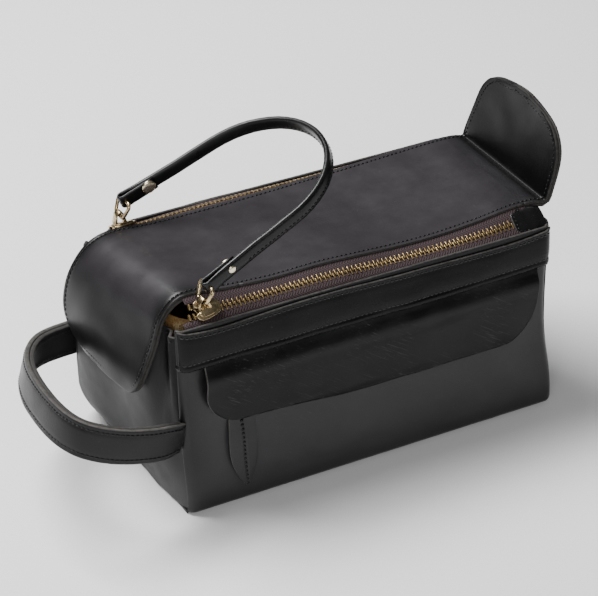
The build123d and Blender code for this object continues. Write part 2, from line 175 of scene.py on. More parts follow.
def write_mesh(name, verts, faces, cut=None, sharp=(), material=None):
    """New object from a mesh given in millimetres, shaded smooth."""
    mesh = bpy.data.meshes.new(name)
    mesh.from_pydata([Vector(v) * MM for v in verts], [], faces)
    mesh.shade_smooth()
    if cut:
        mesh.attributes.new("cut_edge", "FLOAT", "POINT").data.foreach_set("value", cut)
    if sharp:
        pairs = {frozenset(pair) for pair in sharp}
        flags = [frozenset(edge.vertices) in pairs for edge in mesh.edges]
        mesh.attributes.new("sharp_edge", "BOOLEAN", "EDGE").data.foreach_set("value", flags)
    if material:
        mesh.materials.append(material)
    return linked(name, mesh)


def grid_normals(points):
    """Unit normals of a grid of points, pointing to the side that the grid is seen from."""
    rows, columns = len(points), len(points[0])
    normals = []
    for i in range(rows):
        line = []
        for j in range(columns):
            along = points[min(i + 1, rows - 1)][j] - points[max(i - 1, 0)][j]
            across = points[i][min(j + 1, columns - 1)] - points[i][max(j - 1, 0)]
            line.append(along.cross(across).normalized())
        normals.append(line)
    return normals


ROUND = ((1.0, 0.0), (0.3, 0.3), (0.0, 1.0))


def leather_sheet(name, points, thickness, material, rounding=0.55, depth=0.0, skip=(), seams=(),
                  normals=None):
    """Closed sheet under a grid of points, with rounded cut edges.

    depth sinks the whole sheet below the grid, skip names grid cells left open, and seams names the
    ends ("first", "last") that meet the next piece and so stay square. normals are worked out from
    the grid unless given. Returns the object and its places, which give each (row, column) a point,
    the direction out of the cut edge and a normal.
    """
    rows, columns = len(points), len(points[0])
    normals = normals or grid_normals(points)
    surface = [[points[i][j] - normals[i][j] * depth for j in range(columns)] for i in range(rows)]
    cells = [(i, j) for i in range(rows - 1) for j in range(columns - 1) if (i, j) not in skip]
    rim = {}
    for i, j in cells:
        ring = [(i, j), (i + 1, j), (i + 1, j + 1), (i, j + 1)]
        for a, b in zip(ring, ring[1:] + ring[:1]):
            if (b, a) in rim:
                del rim[(b, a)]
            else:
                rim[(a, b)] = True
    seam_rows = [row for row, word in ((0, "first"), (rows - 1, "last")) if word in seams]
    outward = {}
    for a, b in rim:
        if a[0] == b[0] and a[0] in seam_rows:
            continue
        edge = surface[b[0]][b[1]] - surface[a[0]][a[1]]
        for key in (a, b):
            side = edge.cross(normals[key[0]][key[1]])
            outward[key] = outward.get(key, Vector()) + side.normalized()
    outward = {key: side.normalized() for key, side in outward.items()}
    used = {key for i, j in cells for key in ((i, j), (i + 1, j), (i + 1, j + 1), (i, j + 1))}
    on_rim = {key for edge in rim for key in edge}
    radius = min(rounding, 0.45 * thickness)
    rings = [(w * radius, d * radius) for w, d in ROUND]
    rings += [(w, thickness - d) for w, d in reversed(rings)]
    bottom = len(rings) - 1
    verts, cut, index, places = [], [], {}, {}
    for key in sorted(used):
        point, normal = surface[key[0]][key[1]], normals[key[0]][key[1]]
        side = outward.get(key, Vector())
        places[key] = (point, side, normal)
        for level in range(bottom + 1) if key in on_rim else (0, bottom):
            width, drop = rings[level]
            index[key, level] = len(verts)
            verts.append(point - side * width - normal * drop)
            cut.append(1.0 if side.length and 0 < level < bottom else 0.0)
    faces, sharp = [], []
    for i, j in cells:
        ring = [(i, j), (i + 1, j), (i + 1, j + 1), (i, j + 1)]
        faces.append([index[key, 0] for key in ring])
        faces.append([index[key, bottom] for key in reversed(ring)])
    for a, b in rim:
        for level in range(bottom):
            faces.append([index[b, level], index[a, level], index[a, level + 1], index[b, level + 1]])
        if a[0] == b[0] and a[0] in seam_rows:
            sharp += [(index[a, 0], index[b, 0]), (index[a, bottom], index[b, bottom])]
    return write_mesh(name, verts, faces, cut, sharp, material), places


def seam_line(places, keys, inset=stitch_inset):
    """Line of (point, normal) that runs inset from a cut edge, or through inner places of a sheet."""
    return [(places[key][0] - places[key][1] * inset, places[key][2]) for key in keys]


def outline_solid(name, outline, frame_matrix, low, high, bevel, material):
    """Flat solid between two heights over an outline drawn in a plane, with small bevels."""
    count = len(outline)
    verts = [frame_matrix @ Vector((x, y, z)) for z in (low, high) for x, y in outline]
    faces = [list(reversed(range(count))), [count + n for n in range(count)]]
    faces += [[n, (n + 1) % count, count + (n + 1) % count, count + n] for n in range(count)]
    piece = write_mesh(name, verts, faces, material=material)
    modifier = piece.modifiers.new("Bevel", "BEVEL")
    modifier.width = bevel * MM
    modifier.segments = 2
    modifier.angle_limit = math.radians(40)
    return settled(piece)


def turned(name, profile, frame_matrix, material, sides=24):
    """Solid of revolution about the plane's Z axis from a profile of (radius, height)."""
    verts, faces = [], []
    for radius, height in profile:
        for n in range(sides):
            turn = 2 * math.pi * n / sides
            verts.append(frame_matrix @ Vector((radius * math.cos(turn), radius * math.sin(turn), height)))
    for k in range(len(profile) - 1):
        for n in range(sides):
            m = (n + 1) % sides
            faces.append([k * sides + n, k * sides + m, (k + 1) * sides + m, (k + 1) * sides + n])
    faces.append(list(reversed(range(sides))))
    faces.append([(len(profile) - 1) * sides + n for n in range(sides)])
    return write_mesh(name, verts, faces, material=material)


def joined(name, pieces):
    """One object made of several that share a material, at the origin."""
    verts, faces = [], []
    finish = pieces[0].data.materials[0]
    for piece in pieces:
        base = len(verts)
        verts += [v.co.copy() for v in piece.data.vertices]
        faces += [[base + v for v in poly.vertices] for poly in piece.data.polygons]
        bpy.data.objects.remove(piece)
    mesh = bpy.data.meshes.new(name)
    mesh.from_pydata(verts, [], faces)
    mesh.shade_smooth()
    mesh.materials.append(finish)
    return linked(name, mesh)


def settled(piece):
    """The piece with its modifiers made part of its mesh."""
    graph = bpy.context.evaluated_depsgraph_get()
    mesh = bpy.data.meshes.new_from_object(piece.evaluated_get(graph))
    piece.modifiers.clear()
    piece.data = mesh
    return piece


# ---------------------------------------------------------------- repeated shapes along a line

def repeat_tree():
    """Node tree that sets a small shape at a steady pitch along the lines of a mesh."""
    tree = bpy.data.node_groups.new("Repeat along a line", "GeometryNodeTree")
    tree.interface.new_socket("Geometry", in_out="INPUT", socket_type="NodeSocketGeometry")
    for name, kind in (("Pitch", "Float"), ("Size", "Vector"), ("Turn", "Float"), ("Lift", "Float"),
                       ("Unevenness", "Float"), ("Seed", "Int"), ("Shape", "Object"), ("Finish", "Material")):
        tree.interface.new_socket(name, in_out="INPUT", socket_type="NodeSocket" + kind)
    tree.interface.new_socket("Geometry", in_out="OUTPUT", socket_type="NodeSocketGeometry")
    add, link = tree.nodes.new, tree.links.new
    given = add("NodeGroupInput").outputs
    curve = add("GeometryNodeMeshToCurve")
    link(given["Geometry"], curve.inputs["Mesh"])
    evenly = add("GeometryNodeResampleCurve")
    evenly.mode = "LENGTH"
    link(curve.outputs["Curve"], evenly.inputs["Curve"])
    link(given["Pitch"], evenly.inputs["Length"])
    up = add("GeometryNodeInputNamedAttribute")
    up.data_type = "FLOAT_VECTOR"
    up.inputs["Name"].default_value = "up"
    axes = add("FunctionNodeAxesToRotation")
    axes.primary_axis, axes.secondary_axis = "X", "Z"
    link(add("GeometryNodeInputTangent").outputs["Tangent"], axes.inputs["Primary Axis"])
    link(up.outputs["Attribute"], axes.inputs["Secondary Axis"])
    chance = add("FunctionNodeRandomValue")
    chance.data_type = "FLOAT"
    chance.inputs["Min"].default_value = -1.0
    chance.inputs["Max"].default_value = 1.0
    link(given["Seed"], chance.inputs["Seed"])
    value = next(o for o in chance.outputs if o.enabled and o.type == "VALUE")
    uneven = add("ShaderNodeMath")
    uneven.operation = "MULTIPLY_ADD"
    link(value, uneven.inputs[0])
    link(given["Unevenness"], uneven.inputs[1])
    link(given["Turn"], uneven.inputs[2])
    angles = add("ShaderNodeCombineXYZ")
    link(uneven.outputs[0], angles.inputs["Z"])
    spin = add("FunctionNodeEulerToRotation")
    link(angles.outputs[0], spin.inputs[0])
    turned_axes = add("FunctionNodeRotateRotation")
    turned_axes.rotation_space = "LOCAL"
    link(axes.outputs[0], turned_axes.inputs[0])
    link(spin.outputs[0], turned_axes.inputs[1])
    shape = add("GeometryNodeObjectInfo")
    link(given["Shape"], shape.inputs["Object"])
    place = add("GeometryNodeInstanceOnPoints")
    link(evenly.outputs["Curve"], place.inputs["Points"])
    link(shape.outputs["Geometry"], place.inputs["Instance"])
    link(turned_axes.outputs[0], place.inputs["Rotation"])
    link(given["Size"], place.inputs["Scale"])
    raised = add("ShaderNodeCombineXYZ")
    link(given["Lift"], raised.inputs["Z"])
    lift = add("GeometryNodeTranslateInstances")
    link(place.outputs["Instances"], lift.inputs["Instances"])
    link(raised.outputs[0], lift.inputs["Translation"])
    real = add("GeometryNodeRealizeInstances")
    link(lift.outputs["Instances"], real.inputs["Geometry"])
    finish = add("GeometryNodeSetMaterial")
    link(real.outputs["Geometry"], finish.inputs["Geometry"])
    link(given["Finish"], finish.inputs["Material"])
    result = add("NodeGroupOutput")
    link(finish.outputs["Geometry"], result.inputs["Geometry"])
    return tree


REPEAT = repeat_tree()


def repeated(name, lines, shape, pitch, size, finish, turn=0.0, lift=0.0, unevenness=0.0, seed=1):
    """One mesh of a shape set along lines of (point, up), each a list."""
    mesh = bpy.data.meshes.new(name)
    verts, edges, ups = [], [], []
    for line in lines:
        base = len(verts)
        verts += [point * MM for point, up in line]
        ups += [value for point, up in line for value in up]
        edges += [(base + n, base + n + 1) for n in range(len(line) - 1)]
    mesh.from_pydata(verts, edges, [])
    mesh.attributes.new("up", "FLOAT_VECTOR", "POINT").data.foreach_set("vector", ups)
    piece = linked(name, mesh)
    modifier = piece.modifiers.new("Repeat", "NODES")
    modifier.node_group = REPEAT
    values = {"Pitch": pitch * MM, "Size": size, "Turn": turn, "Lift": lift * MM,
              "Unevenness": unevenness, "Seed": seed, "Shape": shape, "Finish": finish}
    for item in REPEAT.interface.items_tree:
        if item.in_out == "INPUT" and item.name in values:
            modifier[item.identifier] = values[item.name]
    piece.update_tag()
    settled(piece)
    piece.data.shade_smooth()
    if "up" in piece.data.attributes:
        piece.data.attributes.remove(piece.data.attributes["up"])
    return piece


def stitch_shape():
    """Unit stitch along X: fat at its middle, dipping into the leather at both ends."""
    half = [(0.5, 0.12, -0.9), (0.36, 0.75, -0.3), (0.12, 1.0, 0.1)]
    profile = [(-x, radius, rise) for x, radius, rise in half] + list(reversed(half))
    verts, faces = [], []
    for x, radius, rise in profile:
        for n in range(6):
            turn = 2 * math.pi * n / 6
            place = (x, 0.5 * radius * math.cos(turn), 0.5 * (rise + radius * math.sin(turn)))
            verts.append(Vector(place) / MM)
    for k in range(len(profile) - 1):
        for n in range(6):
            m = (n + 1) % 6
            faces.append([k * 6 + n, (k + 1) * 6 + n, (k + 1) * 6 + m, k * 6 + m])
    faces.append(list(range(6)))
    faces.append([(len(profile) - 1) * 6 + n for n in reversed(range(6))])
    return write_mesh("stitch_shape", verts, faces)


def tooth_shape():
    """Zip tooth in millimetres: X along the chain, Y out over the chain's middle, Z up."""
    outline = [(-0.55, -2.9), (0.55, -2.9), (0.58, 0.2), (0.4, 0.75), (-0.4, 0.75), (-0.58, 0.2)]
    return outline_solid("tooth_shape", outline, Matrix.Identity(4), -1.2, 1.2, 0.24, None)


STITCH = stitch_shape()
TOOTH = tooth_shape()


def stitches(name, lines, finish, pitch=stitch_pitch, length=2.3, thick=0.85, lift=0.16, seed=1):
    """Sewn line: a slightly slanted stitch at every pitch."""
    size = (length * MM, thick * MM, thick * 0.8 * MM)
    return repeated(name, lines, STITCH, pitch, size, finish, turn=0.1, lift=lift, unevenness=0.07, seed=seed)


def teeth(name, line, finish, turn=0.0):
    """Row of zip teeth along a line whose up is the chain's normal."""
    return repeated(name, [line], TOOTH, tooth_pitch, (1, 1, 1), finish, turn=turn, unevenness=0.02, seed=4)


# ---------------------------------------------------------------- finishes

def shader_group(name, inputs, outputs):
    """Empty shader node group with its sockets."""
    tree = bpy.data.node_groups.new(name, "ShaderNodeTree")
    for label, kind, value in inputs:
        socket = tree.interface.new_socket(label, in_out="INPUT", socket_type="NodeSocket" + kind)
        socket.default_value = value
    for label, kind in outputs:
        tree.interface.new_socket(label, in_out="OUTPUT", socket_type="NodeSocket" + kind)
    return tree, tree.nodes.new("NodeGroupInput").outputs, tree.nodes.new("NodeGroupOutput").inputs


def noise_node(tree, vector, scale, detail=3.0, rough=0.55):
    """Noise texture fed by a vector."""
    node = tree.nodes.new("ShaderNodeTexNoise")
    for label, number in (("Scale", scale), ("Detail", detail), ("Roughness", rough)):
        node.inputs[label].default_value = number
    tree.links.new(vector, node.inputs["Vector"])
    return node.outputs["Fac"]


def point_value(tree, name):
    """Value stored on the points of a mesh."""
    node = tree.nodes.new("ShaderNodeAttribute")
    node.attribute_name = name
    return node.outputs["Fac"]


def total(tree, first, *others):
    """Sum of several values or sockets."""
    for other in others:
        first = maths(tree, "ADD", first, other)
    return first


def ranged(tree, value, low, high, to_low=0.0, to_high=1.0):
    """Value mapped from one range to another and held there."""
    node = tree.nodes.new("ShaderNodeMapRange")
    for label, number in (("From Min", low), ("From Max", high), ("To Min", to_low), ("To Max", to_high)):
        node.inputs[label].default_value = number
    tree.links.new(value, node.inputs["Value"])
    return node.outputs["Result"]


def maths(tree, operation, a, b):
    """Sum, product or other two-sided operation on values or sockets."""
    node = tree.nodes.new("ShaderNodeMath")
    node.operation = operation
    for socket, value in zip(node.inputs, (a, b)):
        if isinstance(value, (int, float)):
            socket.default_value = value
        else:
            tree.links.new(value, socket)
    return node.outputs[0]


def mixed(tree, factor, a, b):
    """Colour between two colours or sockets."""
    node = tree.nodes.new("ShaderNodeMix")
    node.data_type = "RGBA"
    tree.links.new(factor, node.inputs[0])
    for socket, value in ((node.inputs[6], a), (node.inputs[7], b)):
        if isinstance(value, tuple):
            socket.default_value = value
        else:
            tree.links.new(value, socket)
    return node.outputs[2]


def stretched(tree, vector, scale, turn):
    """Coordinates turned and stretched, for marks that run one way."""
    node = tree.nodes.new("ShaderNodeMapping")
    node.vector_type = "TEXTURE"
    node.inputs["Scale"].default_value = [1 / number for number in scale]
    node.inputs["Rotation"].default_value = turn
    tree.links.new(vector, node.inputs["Vector"])
    return node.outputs[0]


def worn_and_shaded_leather_group():
    """Waxed leather: uneven sheen, fine grain, specks, scuffs, a raw fibrous cut edge and painted shade from
    the points' shade value.
    """
    tree, given, result = shader_group(
        "Worn leather with painted shade",
        [("Tone", "Color", (0.012, 0.0115, 0.0125, 1)), ("Raw", "Color", (0.085, 0.08, 0.075, 1)),
         ("Sheen", "Float", 0.36), ("Scuffs", "Float", 0.5), ("Raw Depth", "Float", 1.0)],
        [("Color", "Color"), ("Roughness", "Float"), ("Height", "Float")],
    )
    place = tree.nodes.new("ShaderNodeTexCoord").outputs["Object"]
    patches = noise_node(tree, place, 22.0, 4.0, 0.6)
    clouds = noise_node(tree, place, 70.0, 5.0, 0.62)
    fibres = noise_node(tree, place, 1900.0, 2.0)
    cells = tree.nodes.new("ShaderNodeTexVoronoi")
    cells.feature = "F1"
    tree.links.new(place, cells.inputs["Vector"])
    cells.inputs["Scale"].default_value = 900.0
    ragged = noise_node(tree, place, 420.0, 3.0, 0.7)
    edge = maths(tree, "MULTIPLY", point_value(tree, "cut_edge"), given["Raw Depth"])
    edge = maths(tree, "MULTIPLY", edge, ranged(tree, ragged, 0.3, 0.62, 0.35, 1.0))
    specks = ranged(tree, noise_node(tree, place, 640.0, 2.0, 0.7), 0.69, 0.76)
    along = stretched(tree, place, (45.0, 1500.0, 1500.0), (0.0, 0.6, 0.0))
    across = stretched(tree, place, (80.0, 1700.0, 1700.0), (0.3, -0.35, 0.5))
    long_marks, cross_marks = [noise_node(tree, run, 1.0, 2.0, 0.6) for run in (along, across)]
    marks = maths(tree, "MAXIMUM", ranged(tree, long_marks, 0.6, 0.7), ranged(tree, cross_marks, 0.66, 0.76))
    marks = maths(tree, "MULTIPLY", marks, ranged(tree, patches, 0.45, 0.62))
    marks = maths(tree, "MULTIPLY", marks, given["Scuffs"])
    light = tree.nodes.new("ShaderNodeHueSaturation")
    light.inputs["Value"].default_value = 1.25
    tree.links.new(given["Tone"], light.inputs["Color"])
    tone = mixed(tree, ranged(tree, clouds, 0.35, 0.75), given["Tone"], light.outputs[0])
    # Painted shade: the points' shade value darkens the leather towards near black.
    tone = mixed(tree, point_value(tree, "shade"), tone, (0.0015, 0.0015, 0.0018, 1))
    wear = maths(tree, "MAXIMUM", maths(tree, "MULTIPLY", marks, 0.13), maths(tree, "MULTIPLY", specks, 0.07))
    tone = mixed(tree, wear, tone, (0.26, 0.25, 0.25, 1))
    tree.links.new(mixed(tree, edge, tone, given["Raw"]), result["Color"])
    sheen = total(
        tree, given["Sheen"], ranged(tree, patches, 0.3, 0.7, -0.05, 0.07),
        ranged(tree, clouds, 0.3, 0.7, -0.05, 0.06), maths(tree, "MULTIPLY", marks, 0.18),
        maths(tree, "MULTIPLY", edge, 0.5),
    )
    tree.links.new(maths(tree, "MINIMUM", sheen, 0.95), result["Roughness"])
    grain = total(
        tree, maths(tree, "MULTIPLY", cells.outputs["Distance"], 0.55),
        maths(tree, "MULTIPLY", fibres, 0.25), maths(tree, "MULTIPLY", clouds, 0.5),
        maths(tree, "MULTIPLY", marks, -0.5),
        maths(tree, "MULTIPLY", maths(tree, "MULTIPLY", ragged, edge), 2.5),
    )
    tree.links.new(grain, result["Height"])
    return tree


def herringbone_group():
    """Woven tape: slanting ribs that turn over every few millimetres."""
    tree, given, result = shader_group(
        "Herringbone tape",
        [("Dark", "Color", (0.003, 0.0015, 0.002, 1)), ("Light", "Color", (0.055, 0.027, 0.032, 1))],
        [("Color", "Color"), ("Height", "Float")],
    )
    place = tree.nodes.new("ShaderNodeTexCoord").outputs["Object"]
    split = tree.nodes.new("ShaderNodeSeparateXYZ")
    tree.links.new(place, split.inputs[0])
    across = maths(tree, "PINGPONG", maths(tree, "MULTIPLY", split.outputs["Y"], 1000.0), 1.7)
    slant = maths(tree, "ADD", maths(tree, "MULTIPLY", split.outputs["X"], 1000.0), across)
    ribs = maths(tree, "SINE", maths(tree, "MULTIPLY", slant, 2 * math.pi / 1.8), 0.0)
    ribs = ranged(tree, ribs, -1.0, 1.0)
    fluff = noise_node(tree, place, 1400.0, 2.0)
    tone = maths(tree, "ADD", maths(tree, "MULTIPLY", ribs, 0.8), maths(tree, "MULTIPLY", fluff, 0.2))
    tree.links.new(mixed(tree, tone, given["Dark"], given["Light"]), result["Color"])
    tree.links.new(ribs, result["Height"])
    return tree


def aged_metal_group():
    """Aged metal: dull patches and dark hollows on a bright rubbed base."""
    tree, given, result = shader_group(
        "Aged metal",
        [("Bright", "Color", (0.62, 0.47, 0.25, 1)), ("Dull", "Color", (0.16, 0.105, 0.05, 1)),
         ("Polish", "Float", 0.3), ("Age", "Float", 0.6)],
        [("Color", "Color"), ("Roughness", "Float"), ("Height", "Float")],
    )
    place = tree.nodes.new("ShaderNodeTexCoord").outputs["Object"]
    patches = noise_node(tree, place, 260.0, 4.0, 0.65)
    pits = noise_node(tree, place, 1500.0, 2.0, 0.6)
    shape = tree.nodes.new("ShaderNodeNewGeometry").outputs["Pointiness"]
    age = maths(tree, "MULTIPLY", ranged(tree, patches, 0.35, 0.65), given["Age"])
    age = maths(tree, "MAXIMUM", age, maths(tree, "MULTIPLY", ranged(tree, shape, 0.49, 0.43), given["Age"]))
    tree.links.new(mixed(tree, age, given["Bright"], given["Dull"]), result["Color"])
    rough = maths(tree, "ADD", given["Polish"], maths(tree, "MULTIPLY", age, 0.3))
    tree.links.new(rough, result["Roughness"])
    tree.links.new(maths(tree, "ADD", maths(tree, "MULTIPLY", pits, 0.5), patches), result["Height"])
    return tree


def brocade_group():
    """Figured cloth: pale leaf shapes on a gold ground over a fine weave."""
    tree, given, result = shader_group(
        "Brocade", [("Ground", "Color", (0.33, 0.19, 0.06, 1)), ("Figure", "Color", (0.62, 0.47, 0.24, 1))],
        [("Color", "Color"), ("Height", "Float")],
    )
    place = tree.nodes.new("ShaderNodeTexCoord").outputs["Object"]
    bend = tree.nodes.new("ShaderNodeTexNoise")
    bend.inputs["Scale"].default_value = 60.0
    tree.links.new(place, bend.inputs["Vector"])
    moved = tree.nodes.new("ShaderNodeVectorMath")
    moved.operation = "MULTIPLY_ADD"
    moved.inputs[1].default_value = (0.012, 0.012, 0.012)
    tree.links.new(bend.outputs["Color"], moved.inputs[0])
    tree.links.new(place, moved.inputs[2])
    leaves = tree.nodes.new("ShaderNodeTexVoronoi")
    leaves.feature = "SMOOTH_F1"
    leaves.inputs["Scale"].default_value = 75.0
    tree.links.new(moved.outputs[0], leaves.inputs["Vector"])
    figure = ranged(tree, leaves.outputs["Distance"], 0.32, 0.38, 1.0, 0.0)
    weave = noise_node(tree, stretched(tree, place, (2600.0, 2600.0, 700.0), (0.0, 0.0, 0.0)), 1.0, 1.0)
    tone = mixed(tree, figure, given["Ground"], given["Figure"])
    dark = mixed(tree, ranged(tree, weave, 0.35, 0.65), (0.12, 0.06, 0.02, 1), tone)
    tree.links.new(dark, result["Color"])
    tree.links.new(maths(tree, "ADD", maths(tree, "MULTIPLY", figure, 0.5), weave), result["Height"])
    return tree


LEATHER = worn_and_shaded_leather_group()
HERRINGBONE = herringbone_group()
METAL = aged_metal_group()
BROCADE = brocade_group()


def finish_material(name, group, relief, values=(), **constants):
    """Principled material fed by one of the groups, with the group's values and the fixed ones."""
    material = bpy.data.materials.new(name)
    material.use_nodes = True
    tree = material.node_tree
    shader = tree.nodes["Principled BSDF"]
    node = tree.nodes.new("ShaderNodeGroup")
    node.node_tree = group
    for label, value in values:
        node.inputs[label].default_value = value
    tree.links.new(node.outputs["Color"], shader.inputs["Base Color"])
    if "Roughness" in node.outputs:
        tree.links.new(node.outputs["Roughness"], shader.inputs["Roughness"])
    raised = tree.nodes.new("ShaderNodeBump")
    raised.inputs["Distance"].default_value = relief
    raised.inputs["Strength"].default_value = 1.0
    tree.links.new(node.outputs["Height"], raised.inputs["Height"])
    tree.links.new(raised.outputs[0], shader.inputs["Normal"])
    for label, value in constants.items():
        shader.inputs[label.replace("_", " ")].default_value = value
    return material


def leather_finish(name, tone, sheen, scuffs, gloss, relief=0.00005, raw=(0.085, 0.08, 0.075), raw_depth=1.0):
    """Leather of one base tone with wear and painted shade. raw and raw_depth are the colour and strength of
    its cut edges.
    """
    values = [("Tone", (*tone, 1)), ("Raw", (*raw, 1)), ("Sheen", sheen), ("Scuffs", scuffs),
              ("Raw Depth", raw_depth)]
    return finish_material(name, LEATHER, relief, values, Specular_IOR_Level=gloss)


lid_skin = leather_finish("lid leather", (0.026, 0.0238, 0.0262), 0.36, 0.06, 0.17, relief=0.00004,
                          raw=(0.04, 0.038, 0.036))
front_skin = leather_finish("front leather", (0.022, 0.0213, 0.023), 0.36, 0.3, 0.3, raw_depth=0.5)
leaf_skin = leather_finish("leaf leather", (0.017, 0.017, 0.018), 0.36, 0.4, 0.3)
flap_skin = leather_finish("flap leather", (0.003, 0.003, 0.0034), 0.34, 1.0, 0.2)
band_skin = leather_finish("band leather", (0.0015, 0.0015, 0.002), 0.26, 0.2, 0.16, relief=0.00004,
                           raw_depth=0.7)
end_skin = leather_finish("end leather", (0.024, 0.0232, 0.0245), 0.5, 0.4, 0.2, relief=0.0001,
                          raw_depth=0.5)
facing_skin = leather_finish("facing leather", (0.01, 0.009, 0.0095), 0.6, 0.2, 0.2, relief=0.00012,
                             raw_depth=0.5)
strap_skin = leather_finish("strap leather", (0.004, 0.004, 0.0045), 0.3, 0.3, 0.3, relief=0.00006)
handle_skin = leather_finish("handle leather", (0.0065, 0.006, 0.0065), 0.36, 0.4, 0.25, relief=0.00006)
thread = leather_finish("waxed thread", (0.003, 0.003, 0.0032), 0.35, 0.0, 0.3, relief=0.00004)
# Painted highlight: this thread is paler than the black thread, standing in for the glints along the band's
# stitches.
painted_glint_thread = leather_finish("thread with painted glints", (0.022, 0.021, 0.021), 0.45, 0.5, 0.4, relief=0.00004)
tape_cloth = finish_material("zip tape", HERRINGBONE, 0.00022, Roughness=0.85)
tooth_metal = finish_material("aged teeth", METAL, 0.00005, [
    ("Bright", (0.5, 0.36, 0.17, 1)), ("Dull", (0.06, 0.04, 0.02, 1)), ("Age", 0.8)], Metallic=1.0)
slider_metal = finish_material("aged slider", METAL, 0.00006, [
    ("Bright", (0.66, 0.52, 0.3, 1)), ("Dull", (0.08, 0.055, 0.03, 1)), ("Polish", 0.16),
    ("Age", 0.75)], Metallic=1.0)
pale_metal = finish_material("pale rivet", METAL, 0.00004, [
    ("Bright", (0.88, 0.8, 0.6, 1)), ("Dull", (0.4, 0.31, 0.16, 1)), ("Polish", 0.2),
    ("Age", 0.3)], Metallic=1.0)
lining_cloth = finish_material("brocade lining", BROCADE, 0.00025, Roughness=0.7)


# ---------------------------------------------------------------- shapes shared by the pieces

# Side edges of the front and back as (Z, X).
LEFT_EDGE = [(0, -122.9), (30, -123.6), (65, -124.4), (100, -125.2), (125, -125.6)]
RIGHT_EDGE = [(0, 125.2), (20, 124.6), (45, 122.8), (72, 121.6), (100, 121.4), (125, 121.6)]
# Top edge of the bands as (X, Z).
BAND_TOP = [(-126, 122.9), (-111, 120.6), (-98, 120.0), (-73, 120.9), (-48, 121.8), (-22, 121.5),
            (18, 120.6), (58, 119.8), (99, 119.8), (122, 121.8)]
# The lid's front and back edges as (X, Z), and the tongue's from its tip up to the lid.
LID_FRONT = [(-78, 132.5), (-65, 131.6), (-53, 131.1), (-26, 131.4), (0, 130.1), (26, 128.6),
             (53, 128.4), (80, 130.2), (101, 132.6), (112, 132.9), (118, 132.7), (122, 132.2)]
LID_BACK = [(-78, 128.2), (-55, 128.2), (-22, 128.7), (12, 129.8), (47, 131), (82, 132.4), (101, 133.0),
            (112, 133.0), (118, 132.7), (122, 132.2)]
TONGUE_FRONT = [(-142.6, 71.0), (-141.2, 82.0), (-138.2, 94.0), (-133.6, 106.0), (-131.0, 115.0),
                (-127.8, 123.5), (-122.6, 130.6), (-116.0, 134.8), (-108.5, 135.8), (-99.5, 134.8),
                (-89.0, 133.4), (-78.0, 132.5)]
TONGUE_BACK = [(-145.2, 71.0), (-147.0, 82.0), (-146.6, 93.0), (-144.2, 104.0), (-140.0, 113.5),
               (-134.2, 121.5), (-127.5, 126.6), (-120.0, 129.3), (-111.5, 129.9), (-101.5, 129.1),
               (-90.5, 128.4), (-78.0, 128.2)]
# Half width of the ear at its front and back as (Z, Y).
EAR_FRONT = [(132, 47.4), (145, 48.4), (155, 48.6), (162, 47.6), (167, 45.2), (171, 41.8),
             (174.5, 37.0), (177.3, 30.0), (179.4, 21.0), (180.8, 10.0)]
EAR_BACK = [(132, 47.4), (140, 45.8), (150, 43.2), (160, 40.2), (167, 37.6), (172, 34.4), (176, 30.0),
            (179, 23.0), (180.3, 15.0), (180.8, 8.0)]
# How far the right end wall's top stands above 118 as (Y, rise).
END_TOP = [(0, 9.0), (43, 9.0), (48, 9.6), (52, 8.6), (56, 5.8), (60, 2.6), (64, 1.0)]


def edge_columns(half, spacing):
    """Places across a strip, close together near its stitched edges."""
    near = [0.0, 0.9, 1.8, 2.4, 3.0, 3.6, 4.4, 5.6]
    inner = spread(-half + 8.0, half - 8.0, spacing)
    return [-half + d for d in near] + inner + [half - d for d in reversed(near)]


def sewn_dip(distance, deep=0.32):
    """How far thread pulls leather in, at a distance from its edge."""
    return deep * bump(distance, stitch_inset, 1.5)


def front_swell(u, z):
    """How far the front stands out from its plane at u (0 left, 1 right) and height z."""
    round_foot = math.sin(math.pi * max(0.0, min(1.0, z / wall_top))) ** 0.7
    belly = 2.2 * math.sin(math.pi * u) ** 0.8 * round_foot
    pulled = 1.3 * bump(u, 0.02, 0.16) * smoothstep(10, 60, z)
    pulled -= 0.9 * bump(u, 0.98, 0.12) * smoothstep(20, 70, z)
    folds = 0.9 * ripple(u * 250, z * 1.6, 0, 46, 3.1)
    folds += 0.45 * ripple(u * 250 + z, z * 2 - u * 90, 0, 17, 7.7)
    low_right = smoothstep(0.55, 0.9, u) * (1 - smoothstep(25, 62, z))
    folds += 0.7 * low_right * ripple(u * 120, z * 3.2 + u * 160, 0, 11, 1.3)
    return belly + pulled + folds * math.sin(math.pi * u) ** 0.4 * min(1.0, z / 12)


def wall_swell(side, u, z):
    """How far the front (side -1) or the back (side 1) swells, held flatter under its band."""
    share, full, held = (u, 1.0, 0.6) if side < 0 else (1 - u, 0.9, 0.8)
    return front_swell(share, z) * full * (1 - held * smoothstep(95, 120, z))


def foot_flare(z):
    """How far the front spreads towards its foot."""
    return 6.5 * (1 - smoothstep(4, 62, z))


def back_spread(z):
    """How far the left end wall bulges out beside the back."""
    return 11.0 * smoothstep(0, 24, z) * (1 - smoothstep(56, 96, z))


def turned_in(u):
    """How far the leather turns in towards a side seam near either end."""
    near = min(u, 1 - u) * 250.0
    return 3.4 * max(0.0, 1 - near / 5.0) ** 2


def wrap_x(u, z):
    """Place along the bag at u across the wrap's leaning side edges."""
    left, right = height_at(LEFT_EDGE, z), height_at(RIGHT_EDGE, z)
    return left + (right - left) * u


def wrap_u(x, z):
    """Share of the way across the wrap at x."""
    left, right = height_at(LEFT_EDGE, z), height_at(RIGHT_EDGE, z)
    return (x - left) / (right - left)


def back_corner_drop(x, z):
    """How far the back's upper left corner slumps below the rest of its top edge."""
    return 8.0 * (1 - smoothstep(-124, -103, x)) * smoothstep(80, 123, z)


# ---------------------------------------------------------------- body

